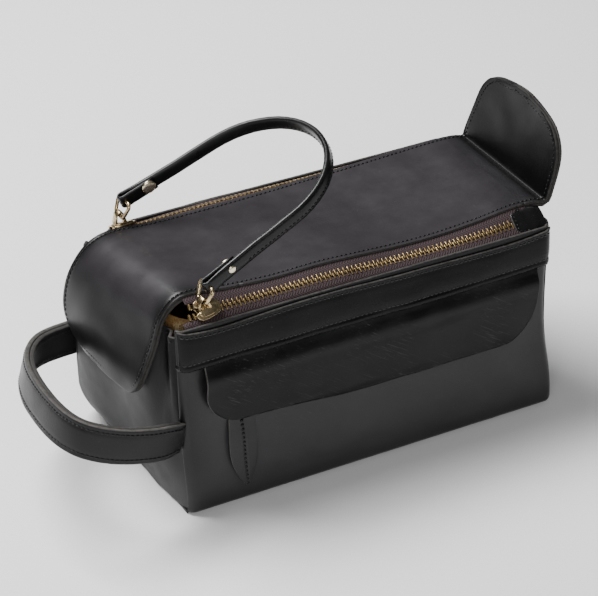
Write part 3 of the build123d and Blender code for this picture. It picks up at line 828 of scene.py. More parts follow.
def wrap_shade(place):
    """Painted shade beside the side seams and near the foot, and a painted shadow under the band."""
    u = wrap_u(place.x, place.z)
    beside = 1 - smoothstep(0.0, 0.09, min(u, 1 - u))
    # Painted shade beside the side seams, stronger at the left one, a painted shadow under the band and
    # painted shade at the foot.
    seam = (0.85 if u < 0.5 else 0.3) * beside * smoothstep(6, 40, place.z)
    band_shadow = 0.7 * smoothstep(60, 90, place.z)
    return min(1.0, max(seam, band_shadow, 0.45 * (1 - smoothstep(2, 12, place.z))))


def end_shade(place):
    """Painted shade in the folds of the end walls and towards their tops."""
    # Painted shade: the corner folds and the upper part of the wall are darkened in colour.
    fold = smoothstep(0.66, 0.84, abs(place.y) / half_depth) * smoothstep(18, 66, place.z)
    return min(1.0, 0.95 * fold + 0.35 * smoothstep(80, 118, place.z))


def wrap_points(columns):
    """Grid of the front, base and back leather, from the back's top edge down and up the front.

    The back is one straight span from its top to the turn at its foot, and the base is another.
    """
    radius = 5.0
    turns = [math.pi / 2 * n / 8 for n in range(1, 8)]
    path = [(half_depth, wall_top, "back"), (half_depth, 12, "back")]
    for turn in turns:
        path.append((half_depth - radius * (1 - math.cos(turn)), radius * (1 - math.sin(turn)), "back"))
    path += [(half_depth - radius, 0.0, "base"), (-half_depth + radius - foot_flare(0), 0.0, "base")]
    for turn in turns:
        path.append((-half_depth + radius * (1 - math.sin(turn)), radius * (1 - math.cos(turn)), "front"))
    slot_low = pocket_zip_z - slot_half
    heights = spread(12, slot_low, 3.1) + [pocket_zip_z, pocket_zip_z + slot_half]
    path += [(-half_depth, z, "front") for z in heights + spread(97, wall_top, 4.0)]
    grid = []
    for u in columns:
        line = []
        for y, z, part in path:
            x, out, drop = wrap_x(u, z), 0.0, 0.0
            if part == "front":
                out = turned_in(u) - wall_swell(-1, u, z) * smoothstep(2, 14, z) - foot_flare(z)
                out += 2.8 * math.exp(-((x - pull_x) / 10) ** 2 - ((z - 81) / 9) ** 2)
            elif part == "back":
                out = wall_swell(1, u, z) * smoothstep(2, 14, z) - turned_in(u)
                drop = back_corner_drop(x, z)
                x -= back_spread(z) * (1 - u) ** 6
            line.append(Vector((x, y + out - 0.6 * drop, z - drop)))
        grid.append(line)
    return grid, path


def make_wrap():
    """Front, base and back, with the slot for the pocket zip."""
    left, right = [wrap_u(x, pocket_zip_z) for x in slot_reach]
    sides = [0.0, 0.004, 0.008, 0.012, 0.017, 0.024, 0.034, 0.05]
    columns = sides + spread(0.07, left, 0.02)[:-1] + spread(left, right, 0.016)
    columns += spread(right, 0.95, 0.02)[1:] + [1 - s for s in reversed(sides[:-1])]
    grid, path = wrap_points(columns)
    reach = slot_half + 0.1
    rows = [n for n, (_, z, part) in enumerate(path)
            if part == "front" and -reach < z - pocket_zip_z < reach - 0.2]
    inside = [i for i, u in enumerate(columns[:-1]) if left - 1e-6 <= u < right - 1e-6]
    skip = {(i, j) for i in inside for j in rows}
    piece = leather_sheet("body_wrap_leather", grid, leather, front_skin, skip=skip)[0]
    # Nothing reaches below the floor.
    for vertex in piece.data.vertices:
        vertex.co.z = max(vertex.co.z, 0.0)
    return shaded(piece, wrap_shade)


def end_points(side):
    """Grid of an end wall, swelling outward, with a fold in at each upper corner."""
    rows = spread(0.6, 118.0, 3.4)
    shares = [-1.0, -0.975, -0.95, -0.92, -0.88, -0.84, -0.8, -0.76, -0.72, -0.68, -0.63, -0.58]
    shares += spread(-0.52, 0.52, 0.07) + [-s for s in reversed(shares)]
    corner_radius = 8.0
    full, deep = (12.0, 5.0) if side < 0 else (7.0, 2.6)
    grid = []
    for z in rows:
        corner = max(0.0, corner_radius - z)
        half = half_depth - leather - 0.2 - (corner_radius - math.sqrt(corner_radius ** 2 - corner ** 2))
        edge = height_at(LEFT_EDGE if side < 0 else RIGHT_EDGE, z)
        low = math.sin(math.pi * min(1.0, (z + 12) / 165)) ** 0.8
        line = []
        for share in shares:
            y, near = half * share, abs(share)
            if y * side > 0:
                y += math.copysign(foot_flare(z), y) * near
            swell = full * (1 - near ** 3.4) * low
            if side < 0:
                swell += back_spread(z) * smoothstep(-0.2, 0.95, share)
            fold = smoothstep(30, 100, z) * (deep * bump(near, 0.78, 0.14) - 1.6 * bump(near, 0.93, 0.08))
            crease = 1.5 * smoothstep(20, 60, z) * bump(near, 0.86 + 0.1 * (1 - z / 120), 0.09)
            uneven = 0.8 * ripple(y, z, side * 9, 26, 5.0) + 0.35 * ripple(y, z, 0, 9, 2.0)
            out = (swell - fold - crease + uneven * (1 - share ** 4)) - 0.9
            top = height_at(END_TOP, abs(y)) if side > 0 else 0.0
            rise = z + top * smoothstep(90, 118, z)
            line.append(Vector((edge + side * out, y if side < 0 else -y, rise)))
        grid.append(line)
    return grid, rows, shares


def make_end(name, side):
    """End wall of softer leather."""
    grid, rows, shares = end_points(side)
    piece, places = leather_sheet(name, grid, leather, end_skin)
    shaded(piece, end_shade)
    line = seam_line(places, [(len(rows) - 1, j) for j in range(2, len(shares) - 2)], inset=3.0)
    sewn = stitches(name + "_stitches", [line], thread, seed=23)
    return piece, sewn


def band_points(side):
    """Grid of the band along the top of the front or back, from its rolled lower edge up."""
    profile = [(98.4, -1.0), (97.6, 0.2), (97.3, 1.3), (97.6, 2.4), (98.5, 3.15), (99.8, 3.4),
               (100.8, 3.2), (101.6, 2.95), (102.3, 2.85), (103.0, 2.95), (104.2, 3.15), (107.0, 3.2),
               (111.0, 2.9), (115.0, 2.5), (117.4, 2.2), (118.3, 1.95), (119.0, 1.9), (119.7, 2.05),
               (120.4, 2.2), (121.6, 2.3)]
    rim = profile[-1][0]
    grid = []
    for u in spread(0.0, 1.0, 0.011):
        line = []
        for z, out in profile:
            x = wrap_x(u, z)
            height = z + (height_at(BAND_TOP, x) - rim) * smoothstep(104, 118, z)
            wave = 0.35 * ripple(x, z, side * 5, 22, 8.0) - turned_in(u)
            drop = back_corner_drop(x, z) if side > 0 else 0.0
            away = half_depth + out + wall_swell(side, u, z) + wave - 0.6 * drop
            line.append(Vector((x, side * away, height - drop)))
        grid.append(line)
    if side > 0:
        grid.reverse()
    return grid, len(profile)


def make_band(name, side):
    """Band sewn along its top and above its rolled lower edge."""
    grid, count = band_points(side)
    piece, places = leather_sheet(name, grid, 1.7, band_skin, rounding=0.5)
    columns = range(1, len(grid) - 1)
    lines = [seam_line(places, [(i, count - 1) for i in columns], inset=2.6)]
    lines.append([(places[i, 8][0], places[i, 8][2]) for i in columns])
    # The band's stitches take the paler thread, a painted highlight for their glints.
    return piece, stitches(name + "_stitches", lines, painted_glint_thread, seed=5)


def make_lining():
    """Cloth tub inside, soft at its corners and wavy along its top, with straight walls."""
    verts, faces = [], []
    outline = []
    reach_x, reach_y, radius = 119.6, 58.0, 24.0
    cloth = 0.8
    for sx, sy, start in ((1, 1, 0), (-1, 1, 90), (-1, -1, 180), (1, -1, 270)):
        centre = Vector((sx * (reach_x - radius), sy * (reach_y - radius)))
        for n in range(7):
            turn = math.radians(start + 90 * n / 6)
            outline.append(centre + Vector((radius * math.cos(turn), radius * math.sin(turn))))
    ring = []
    for a, b in zip(outline, outline[1:] + outline[:1]):
        count = max(1, round((b - a).length / 6))
        ring += [a + (b - a) * n / count for n in range(count)]
    levels = [(1.0, 121.0), (1.0, 10.0), (0.99, 6.5), (0.97, 5.0), (0.93, 4.6), (0.6, 4.5), (0.2, 4.5)]
    count = len(ring)
    for outside in (True, False):
        for scale, z in (levels if outside else reversed(levels)):
            base = cloth if outside and scale < 0.99 else 0.0
            for point in ring:
                slack = 1.3 * ripple(point.x, point.y, z, 24, 4.0) * smoothstep(5, 30, z)
                inward = slack + 1.2 - (cloth if outside else 0.0)
                flat = point * scale - point.normalized() * inward
                sag = 1.4 * ripple(point.x, point.y, 0, 30, 9.0) if z > 112 else 0.0
                verts.append(Vector((flat.x, flat.y, z + sag - base)))
    total_levels = 2 * len(levels)
    for k in range(total_levels):
        low, high = k * count, (k + 1) % total_levels * count
        if k == len(levels) - 1:
            continue
        for n in range(count):
            m = (n + 1) % count
            faces.append([low + n, high + n, high + m, low + m])
    last_outer, first_inner = (len(levels) - 1) * count, len(levels) * count
    faces.append([last_outer + n for n in reversed(range(count))])
    faces.append([first_inner + n for n in range(count)])
    return write_mesh("lining_tub", verts, faces, material=lining_cloth)


# ---------------------------------------------------------------- lid, tongue and ear

def tongue_rows():
    """Cross lines of the tongue from its tip up to the lid."""
    front, back = [[(x, z, 0.0) for x, z in run] for run in (TONGUE_FRONT, TONGUE_BACK)]
    tip_half, tip_length = 29.0, 27.0
    near_tip = [0.0, 0.03, 0.08, 0.15, 0.24, 0.3, 0.37, 0.45, 0.6, 0.8]
    rows, distance, before = [], 0.0, None
    for u in near_tip + steps(front, 1.0, len(front) - 1, 2.6):
        a, b = through(front, u), through(back, u)
        middle = (a + b) / 2
        distance += (middle - before).length if before else 0.0
        before = middle
        share = min(1.0, distance / tip_length)
        half = tip_half + (half_lid - tip_half) * math.sqrt(max(0.0, 1 - (1 - share) ** 2.2))
        rows.append((a.xy, b.xy, half))
    rows[-1] = (Vector(TONGUE_FRONT[-1]), Vector(TONGUE_BACK[-1]), half_lid)
    return rows


def flat_rows():
    """Cross lines of the lid between the tongue and the ear."""
    return [(Vector((x, height_at(LID_FRONT, x))), Vector((x, height_at(LID_BACK, x))), half_lid)
            for x in spread(tongue_seam, ear_seam, 3.4)]


def ear_rows():
    """Cross lines of the lid's right end and up the ear to its tip."""
    path = [(ear_seam, 132.9, 0), (118.0, 132.6, 0), (122.5, 131.8, 0), (125.6, 131.0, 0), (126.7, 131.4, 0),
            (127.2, 133.4, 0), (128.2, 139.0, 0), (129.9, 147.0, 0), (131.6, 155.0, 0), (133.1, 163.0, 0),
            (134.6, 170.0, 0), (135.8, 175.5, 0), (136.9, 180.8, 0)]
    last = len(path) - 1
    near_tip = [last - 1 + f for f in (0.3, 0.5, 0.66, 0.78, 0.87, 0.93, 0.97, 1.0)]
    rows = []
    for u in steps(path, 0.0, last - 1, 2.2) + near_tip:
        place = through(path, u).xy
        rows.append((place, place, half_lid if u < 5 else height_at(EAR_FRONT, place.y)))
    rows[0] = (Vector((ear_seam, 132.9)), Vector((ear_seam, 133.0)), half_lid)
    return rows


# Each row of a run is (front point, back point, half width), with its points in X and Z.
LID_ROWS = {"tongue": tongue_rows, "lid": flat_rows, "ear": ear_rows}


def lid_surface(kind, full_width=False):
    """Grid of one run of the lid's upper leather, as cut or at full width throughout."""
    columns = edge_columns(half_lid, 3.9)
    grid = []
    for front, back, half in LID_ROWS[kind]():
        half = half_lid if full_width else half
        line = []
        for c in columns:
            share = (c + half_lid) / (2 * half_lid)
            y = c * half / half_lid
            if kind == "ear" and c > 0 and front.y > fold_height and not full_width:
                y = c * height_at(EAR_BACK, front.y) / half_lid
            x, z = front.lerp(back, smoothstep(0, 1, share) * 0.5 + share * 0.5)
            inner = 1 - (2 * share - 1) ** 2
            if kind == "ear" and z > fold_height:
                x += 1.6 * inner * bump(z, 160, 34) + 0.8 * ripple(y, z, 0, 22, 6.0) * inner
                x -= 1.3 * (1 - inner) ** 3 * smoothstep(140, 175, z)
            elif kind == "tongue":
                over = smoothstep(-104, -128, x)
                z += (1.3 * (1 - over) - 2.5 * smoothstep(-110, tongue_seam, x)) * inner
                x -= 2.2 * over * inner
                x -= 0.5 * over * ripple(y, z, 0, 16, 4.4)
            else:
                inside = smoothstep(tongue_seam, -66, x) * (1 - smoothstep(96, ear_seam, x))
                z -= (1.2 * (1 - smoothstep(85, ear_seam, x)) + 0.9 * bump(x, 30, 70)) * inner
                z += (0.4 * ripple(x, y, 0, 28, 2.2) + 0.15 * ripple(x, y, 0, 11, 1.2)) * inner * inside
            near_fold = smoothstep(92, ear_seam, x) * (1 - smoothstep(118, 124, x)) if z < 134 else 0.0
            z += near_fold * 0.45 * ripple(x * 2.2, y * 0.8, 0, 8, 3.3) * inner
            line.append(Vector((x, y, z)))
        grid.append(line)
    return grid


def lid_grid(kind):
    """Grid of one run of the lid with its sewn dips, and its normals."""
    grid = lid_surface(kind)
    normals = grid_normals(lid_surface(kind, full_width=True))
    sunk = []
    for i, line in enumerate(grid):
        half = max(abs(p.y) for p in line)
        new = []
        for j, point in enumerate(line):
            deep = sewn_dip(half - abs(point.y)) if half > half_lid - 1 and point.z < 140 else 0.0
            new.append(point - normals[i][j] * deep)
        sunk.append(new)
    return sunk, normals


def lid_shade(place):
    """Painted shade down the tongue's rim and low on the tongue, towards the ear, on it and along its fold.
    """
    # Painted shade: ear and fold, the tongue's rim and the tongue below the lid are darkened in colour.
    ear = smoothstep(88, 124, place.x - 0.12 * place.y) * 0.6 + 0.4 * smoothstep(119, 123, place.x)
    rim = smoothstep(30, 47, abs(place.y)) * (1 - smoothstep(-112, -92, place.x)) * 0.9
    low = 0.85 * (1 - smoothstep(106, 133, place.z))
    return min(1.0, max(ear, rim, low if place.x < -100 else 0.0))


def make_lid_run(kind, name, seams):
    """Outer and lower leather of one run of the lid, with its sewn edges."""
    grid, normals = lid_grid(kind)
    rows, columns = len(grid), len(grid[0])
    outer, places = leather_sheet(name, grid, leather, lid_skin, seams=seams, normals=normals)
    shaded(outer, lid_shade)
    inner = leather_sheet(name + "_facing", grid, leather, facing_skin, depth=leather + layer_gap,
                          seams=seams, normals=normals)[0]
    if kind == "lid":
        lines = [seam_line(places, [(i, j) for i in range(rows)]) for j in (0, columns - 1)]
    else:
        end = 0 if kind == "tongue" else rows - 1
        order = range(rows - 1, 0, -1) if end == 0 else range(rows - 1)
        keys = [(i, 0) for i in order] + [(end, j) for j in range(columns)]
        lines = [seam_line(places, keys + [(i, columns - 1) for i in reversed(order)])]
    under = [[(point - up * (2 * leather + 0.1), -up) for point, up in line] for line in lines]
    sewn = stitches(name + "_stitches", lines + under, thread, seed=len(name))
    return outer, inner, sewn


# ---------------------------------------------------------------- zips

def strip_line(side, x):
    """Lid side edge, chain middle and body side edge of the sloping zip strip at x, in Y and Z."""
    lid_edge, tongue_edge = (LID_FRONT, TONGUE_FRONT) if side < 0 else (LID_BACK, TONGUE_BACK)
    edge = height_at(lid_edge, x)
    if x < tongue_seam:
        edge = height_at(tongue_edge[4:], x) if x > -118 else 131.0
    high = Vector((side * (half_lid + 0.2), edge - 2.4))
    low = Vector((side * (half_depth - leather - 0.5), height_at(BAND_TOP, x) + 0.4))
    return high, (high + low) / 2, low


def chain_parting(x):
    """How far apart the rows stand at x, left of the closed chain."""
    return 3.4 * (1 - smoothstep(slider_x + slider_shift - 8.5, slider_x + slider_shift + 5.0, x))


def chain_row(side, row, x):
    """Place, normal and direction away from the chain of one row at x. row is +1 on the lid, -1 below."""
    high, middle, low = strip_line(side, x)
    across = (high - low).normalized()
    part = chain_parting(x)
    lift = 0.35 * ripple(x, 0, 0, 25, 1.5)
    flat = middle + across * row * part
    flat += Vector((0, 0.22 * part * (1.6 if row > 0 else -0.6) + lift * 0.4))
    normal = Vector((0, side * abs(across.y), abs(across.x)))
    return Vector((x, flat.x, flat.y)), normal.normalized(), Vector((0, across.x, across.y)) * row


def make_zip_side(side, row, low_x, high_x, name):
    """Tape and teeth of one row between two places along the bag."""
    grid = []
    for x in spread(low_x, high_x, 2.6):
        point, normal, away = chain_row(side, row, x)
        high, _, low = strip_line(side, x)
        anchor = high if row > 0 else low
        seat = Vector((x, anchor.x, anchor.y))
        inner = point + away * 0.9
        hidden = seat + Vector((0, -side * 8.0, 0.3) if row > 0 else (0, side * 0.3, -9.0))
        bulge = normal * (0.35 + 0.25 * ripple(x, row * 30, side * 30, 13, 0.7))
        line = [inner, inner.lerp(seat, 0.35) + bulge, inner.lerp(seat, 0.7) + bulge * 0.8]
        line += [seat, seat.lerp(hidden, 0.3), hidden]
        grid.append(line if row * side > 0 else line[::-1])
    tape = leather_sheet(name + "_tape_cloth", grid, tape_thickness, tape_cloth, rounding=0.25)[0]
    start = math.ceil((max(low_x, zip_left) - zip_left) / tooth_pitch) * tooth_pitch + zip_left
    line = []
    for n in range(int(min(high_x, zip_right) - start)):
        point, normal, _ = chain_row(side, row, start + 0.75 * row + 0.1 + n)
        line.append((point + normal * 0.25, normal))
    turn = math.pi if row * side > 0 else 0.0
    return tape, teeth(name + "_teeth_metal", line, tooth_metal, turn=turn)


def plane_matrix(along, across, normal, origin):
    """Matrix of a plane from its three directions and its origin."""
    matrix = Matrix.Identity(4)
    for row in range(3):
        matrix[row] = (along[row], across[row], normal[row], origin[row])
    return matrix


def strip_matrix(side, x):
    """Plane on the zip strip at x: X along the bag, Y up the slope, Z out. At the back X runs left."""
    high, middle, low = strip_line(side, x)
    slope = (high - low).normalized()
    normal = (0, side * abs(slope.y), abs(slope.x))
    return plane_matrix((-side, 0, 0), (0, slope.x, slope.y), normal, (x, middle.x, middle.y))


def make_slider(name, side):
    """Shield-shaped slider with a raised rim, an arched bridge and a lower plate."""
    matrix = strip_matrix(side, slider_x + slider_shift)
    upper = [(6.6, 2.6), (3.0, 4.1), (-1.0, 5.0), (-4.4, 5.2), (-6.4, 4.0), (-6.9, 2.2), (-5.0, 1.0)]
    shield = [(6.9, 0.0)] + upper + [(-4.4, 0.0)] + [(x, -y) for x, y in reversed(upper)]
    shield = [(-side * x * 1.15, y * 1.2) for x, y in shield]
    if side > 0:
        shield.reverse()
    inset = [(x * 0.78, y * 0.76) for x, y in shield]
    parts = [
        outline_solid("plate", shield, matrix, 1.5, 3.2, 0.35, slider_metal),
        outline_solid("raised", inset, matrix, 3.0, 4.0, 0.4, slider_metal),
        outline_solid("under", shield, matrix, -2.8, -1.7, 0.35, slider_metal),
    ]
    pin = pivot("front_ring_turn").z
    base = strip_line(side, slider_x)[1].y + 2.4
    arch = [(-3.4, base - 0.6), (-3.5, base + 2.2), (-2.4, pin + 0.6), (-1.2, pin + 2.3), (0.0, pin + 2.9),
            (1.3, pin + 2.3), (2.6, pin + 0.8), (4.4, base + 2.0), (5.2, base + 0.2)]
    arch += [(3.6, base - 0.6), (2.9, base + 1.0), (1.6, pin - 0.9), (1.7, pin + 0.4), (0.9, pin + 1.4),
             (-0.2, pin + 1.55), (-1.3, pin + 1.2), (-1.8, pin - 0.2), (-1.9, base + 0.6), (-2.0, base - 0.6)]
    upright = plane_matrix((1, 0, 0), (0, 0, 1), (0, -1, 0), (slider_x, side * strip_y, 0))
    parts.append(outline_solid("bridge", arch[::-1], upright, -2.5, 2.5, 0.45, slider_metal))
    return joined(name, parts)


def make_tab(name, side):
    """Leather tab sewn over the closed end of the zip."""
    normal = Vector((side * 0.43, 0.9))
    columns = [-1.0, -0.86, -0.7, -0.5, -0.25, 0.0, 0.25, 0.5, 0.7, 0.86, 1.0]
    grid = []
    for x in [99.8, 100.4, 101.2, 102.4, 104.0, 106.0] + spread(108.0, 121.4, 1.2):
        high, middle, low = strip_line(side, x)
        curve = math.sqrt(max(0.0, 1 - (1 - min(1.0, (x - 99.6) / 6.5)) ** 2))
        line = []
        for share in columns:
            rise = 1.5 * (1 - 0.25 * share ** 2) - 0.9 * smoothstep(0.75, 1.0, abs(share))
            rise += 0.5 * ripple(x * 2.2, share * 7, 0, 7, side * 2.0) - 1.5 * smoothstep(114, 122, x)
            spot = middle + (high - low) * 0.5 * 1.02 * share * (0.5 + 0.5 * curve) + normal * rise
            line.append(Vector((x, spot.x, spot.y)))
        grid.append(line if side < 0 else line[::-1])
    piece, places = leather_sheet(name, grid, 1.6, strap_skin, rounding=0.5)
    third = len(grid) // 3
    keys = [(i, 0) for i in range(third, 0, -1)] + [(0, j) for j in range(1, 10)]
    line = seam_line(places, keys + [(i, 10) for i in range(1, third)], inset=1.9)
    return piece, stitches(name + "_stitches", [line], thread, pitch=2.5, length=1.9, seed=3)


# ---------------------------------------------------------------- wrist strap

def strap_route():
    """Plane of the strap loop, and the back half of its arc as (x, y) in that plane."""
    top = pivot("strap_swing")
    lean = math.radians(24.0)
    along, normal = (math.cos(lean), 0, math.sin(lean)), (-math.sin(lean), 0, math.cos(lean))
    matrix = plane_matrix(along, (0, 1, 0), normal, (top.x, 0.0, top.z))
    radius, centre = 50.0, 58.0
    swing = math.atan2(strip_y, -centre) - math.acos(radius / math.hypot(centre, strip_y))
    turns = [swing * (1 - n / 12) for n in range(13)]
    return matrix, [(centre + radius * math.cos(turn), radius * math.sin(turn)) for turn in turns]


def line_side(line, k):
    """Direction square to a line of (x, y, thickness) at its point k, to the left as it runs."""
    before, after = line[max(k - 1, 0)], line[min(k + 1, len(line) - 1)]
    tangent = Vector((after[0] - before[0], after[1] - before[1])).normalized()
    return Vector((-tangent.y, tangent.x))


def strip_along(name, line, width, matrix, material):
    """Closed strip on edge along a line of (x, y, thickness), its width along the plane's Z."""
    verts, faces = [], []
    half = width / 2
    section = [(-0.5, -half + 0.4), (-0.36, -half), (0.36, -half), (0.5, -half + 0.4), (0.53, -0.2 * half),
               (0.52, 0.4 * half), (0.47, half - 1.1), (0.3, half - 0.3), (0.0, half), (-0.3, half - 0.3),
               (-0.47, half - 1.1), (-0.52, 0.4 * half), (-0.53, -0.2 * half)]
    count = len(section)
    for k, (x, y, thick) in enumerate(line):
        side = line_side(line, k)
        for across, height in section:
            z = height + 0.25 * ripple(x, y, 0, 14, 3.0) * (1 if height > 0 else 0.4)
            verts.append(matrix @ Vector((x + side.x * across * thick, y + side.y * across * thick, z)))
    for k in range(len(line) - 1):
        for n in range(count):
            m = (n + 1) % count
            faces.append([k * count + n, (k + 1) * count + n, (k + 1) * count + m, k * count + m])
    faces.append(list(range(count)))
    faces.append([(len(line) - 1) * count + n for n in reversed(range(count))])
    return write_mesh(name, verts, faces, material=material)


def strap_line(start, tangent, side, arc):
    """Strap's middle line as (x, y, thickness), from the back ring round the arc to the front ring."""
    end = []
    for n in range(5):
        end.append((21.0 - 4.2 * n, -2.0 - 0.12 * n * (4 - n) / 4, 1.7 if n else 1.3))
    for n in range(9):
        turn = math.radians(-90 - 180 * n / 8)
        end.append((2.35 * math.cos(turn), 2.35 * math.sin(turn), 1.75))
    end += [(4.0, 1.9, 1.9), (8.0, 1.25, 2.7), (13.0, 0.8, 3.3), (20.0, 0.45, 3.5), (28.0, 0.15, 3.5)]
    half_line = [(*(start + tangent * s + side * out), thick) for s, out, thick in end]
    reach = (Vector(arc[0]) - start).length
    half_line += [(*(start + tangent * s), 3.5) for s in spread(34.0, reach - 2, 4.0)]
    half_line += [(x, y, 3.5) for x, y in arc]
    return half_line + [(x, -y, thick) for x, y, thick in reversed(half_line[:-1])]


def strap_seams(line, matrix):
    """Stitch lines along both faces of the strap, between its folded ends."""
    ends = 18
    rows = []
    for face in (-1, 1):
        row = []
        for k in range(ends, len(line) - ends):
            x, y, thick = line[k]
            out = line_side(line, k) * face
            spot = matrix @ Vector((x + out.x * thick * 0.53, y + out.y * thick * 0.53, -2.1))
            row.append((spot, (matrix.to_3x3() @ Vector((out.x, out.y, 0))).normalized()))
        rows.append(row)
    return rows


def strap_caps(start, tangent, side, matrix):
    """Domed rivet heads on both faces of the strap, at both of its ends, smaller on one face."""
    profile = [(4.0, -0.5), (4.3, 0.0), (4.2, 0.35), (3.6, 0.8), (2.4, 1.15), (1.1, 1.28), (0.2, 1.3)]
    place = start + tangent * 16.0
    caps = []
    for end in (-1, 1):
        centre = Vector((place.x, place.y * end, 0))
        along = Vector((tangent.x, tangent.y * end, 0))
        for facing, reach, size in ((1, 2.35, 0.55), (-1, 2.85, 1.0)):
            out = Vector((side.x, side.y * end, 0)) * facing
            cap = plane_matrix(along, out.cross(along), out, centre + out * reach)
            shape = [(radius * size, height * size) for radius, height in profile]
            caps.append(turned("cap", shape, matrix @ cap, pale_metal))
    return joined("strap_rivet_caps", caps)


def make_strap():
    """Loop of folded leather with both ends wrapped round the rings and riveted."""
    matrix, arc = strap_route()
    start = Vector((0, strip_y))
    tangent = (Vector(arc[0]) - start).normalized()
    side = Vector((-tangent.y, tangent.x))
    line = strap_line(start, tangent, side, arc)
    piece = strip_along("wrist_strap_leather", line, 8.4, matrix, strap_skin)
    sewn = stitches("wrist_strap_stitches", strap_seams(line, matrix), thread, lift=0.1, seed=9)
    return piece, sewn, strap_caps(start, tangent, side, matrix)


# ---------------------------------------------------------------- handle

def handle_frame(distance, y, across):
    """Place on the tilted handle from its distance off the end wall, its Y and its place across."""
    tilt = math.radians(14.0)
    root = pivot("handle_tilt")
    reach = distance - 12.0
    return Vector((root.x - reach * math.cos(tilt) + across * math.sin(tilt), y,
                   root.z + reach * math.sin(tilt) + across * math.cos(tilt)))


def make_handle():
    """Two sewn straps bent into a loop, each end pinched into a side seam."""
    route = [(-1.0, 60.8, 0), (8.0, 59.0, 0), (20.0, 54.6, 0), (33.0, 48.8, 0), (45.0, 40.5, 0),
             (54.0, 29.5, 0), (60.5, 16.0, 0), (64.5, 0.0, 0), (66.0, -17.0, 0), (65.8, -33.0, 0),
             (63.5, -46.0, 0), (58.0, -56.5, 0), (48.0, -63.5, 0), (35.0, -67.0, 0), (20.0, -67.4, 0),
             (8.0, -65.0, 0), (-1.0, -61.0, 0)]
    half, thickness = 11.0, 2.9
    near_edge = [0.0, 1.0, 2.0, 3.0, 4.2]
    columns = [-half + d for d in near_edge] + [-5.0, -2.5, 0.0, 2.5, 5.0]
    columns += [half - d for d in reversed(near_edge)]
    grid = []
    for u in steps(route, 0.0, len(route) - 1, 2.6):
        distance, y, _ = through(route, u)
        before, after = through(route, max(0, u - 0.2)), through(route, min(len(route) - 1, u + 0.2))
        tangent = (after - before).normalized()
        out = Vector((-tangent.y, tangent.x))
        pinch = 1 - 0.12 * (1 - smoothstep(0.0, 12.0, distance))
        wave = 0.35 * ripple(distance, y, 0, 30, 2.5)
        line = []
        for across in columns:
            dome = 3.1 + 0.45 * (1 - (across / half) ** 2) - sewn_dip(half - abs(across), 0.3)
            dome += 0.25 * ripple(distance, y, across, 18, 5.5)
            spot = Vector((distance, y)) + out * dome
            line.append(handle_frame(spot.x, spot.y, across * pinch + wave))
        grid.append(line)
    outer, places = leather_sheet("handle_outer_leather", grid, thickness, handle_skin, rounding=0.7)
    inner = leather_sheet("handle_inner_leather", grid, thickness, facing_skin, rounding=0.7,
                          depth=thickness + layer_gap)[0]
    lines = [seam_line(places, [(i, j) for i in range(len(grid))]) for j in (0, len(columns) - 1)]
    under = [[(point - up * 6.0, -up) for point, up in line] for line in lines]
    sewn = stitches("handle_stitches", lines + under, thread, length=2.4, thick=0.95, seed=31)
    return outer, inner, sewn


# ---------------------------------------------------------------- front pocket

def make_flap():
    """Unlined flap that hangs from under the front band over the pocket zip."""
    low_x, high_x = flap_low.x - 0.5, flap_high.x + 0.3
    top, bottom, radius = flap_high.z + 2.5, flap_low.z + 0.5, 24.0
    rows = [0.0, 0.12, 0.35, 0.7, 1.2, 2.0, 3.2, 5.0, 7.5, 10.5, 14.0, 18.0]
    rows += spread(22.0, top - bottom, 2.8)
    near_end = [0.0, 0.003, 0.008, 0.015, 0.025, 0.04, 0.06]
    shares = near_end + spread(0.08, 0.92, 0.0145) + [1 - s for s in reversed(near_end)]
    grid = []
    for share in shares:
        line = []
        for rise in rows:
            cut = radius * (1 - math.sqrt(max(0.0, 1 - (1 - min(1.0, rise / radius)) ** 2)))
            x = low_x + cut + (high_x - low_x - 2 * cut) * share
            raised = 4.0 * (1 - smoothstep(0.0, 0.5, share)) * (1 - rise / (top - bottom))
            z = bottom + rise + raised
            hang = smoothstep(0.0, 12.0, top - z)
            swell = front_swell(wrap_u(x, z), z) * 0.8
            lump = 1.7 * math.exp(-((z - 88) / 9) ** 2)
            loose = 0.9 * ripple(x, z * 1.2, 0, 38, 6.1) + 0.3 * ripple(x, z, 0, 12, 2.3)
            curl = 0.9 * bump(z, bottom, 5) * (0.5 + 0.5 * ripple(x, 0, 0, 40, 8.2))
            out = 2.6 + foot_flare(z) + (2.2 * hang + lump + loose * hang + curl) + max(0.0, swell)
            line.append(Vector((x, -half_depth - out, z)))
        grid.append(line)
    return leather_sheet("pocket_flap_leather", grid, 1.8, flap_skin, rounding=0.5)[0]


def make_leaf():
    """Leaf-shaped pull, pointed near the base and sewn down its middle."""
    middle = (leaf_low.x + leaf_high.x) / 2 - 2.0
    profile = [(80.5, 3.0), (76.0, 3.8), (70.0, 5.2), (63.0, 6.8), (56.0, 7.9), (49.0, 8.7), (42.0, 9.1),
               (35.0, 9.0), (28.0, 8.0), (22.0, 6.2), (17.5, 4.0), (14.6, 2.0), (13.4, 0.8)]
    grid = []
    for share in (-1.0, -0.8, -0.55, -0.3, -0.12, 0.0, 0.12, 0.3, 0.55, 0.8, 1.0):
        line = []
        for z, half in reversed(profile):
            arch = 0.9 * (1 - share ** 2) - 0.5 * bump(share, 0.0, 0.15)
            x = middle + share * half + 0.6 * ripple(0, z, 0, 25, 4.0)
            front = front_swell(wrap_u(x, z), z) * smoothstep(2, 14, z)
            hang = 1.4 + 0.8 * smoothstep(20, 60, z)
            under = smoothstep(44, 57, z)
            out = max(front, 0.0) + (hang + arch + 1.4) * (1 - under) + 1.9 * under
            line.append(Vector((x, -half_depth - foot_flare(z) - out, z)))
        grid.append(line)
    piece, places = leather_sheet("pocket_pull_leather", grid, 1.7, leaf_skin, rounding=0.4)
    line = [(places[5, j][0], places[5, j][2]) for j in range(1, len(profile) - 1)]
    sewn = stitches("pocket_pull_knots", [line], thread, pitch=2.6, length=2.4, thick=2.2, lift=0.3, seed=77)
    return piece, sewn


# ---------------------------------------------------------------- put together

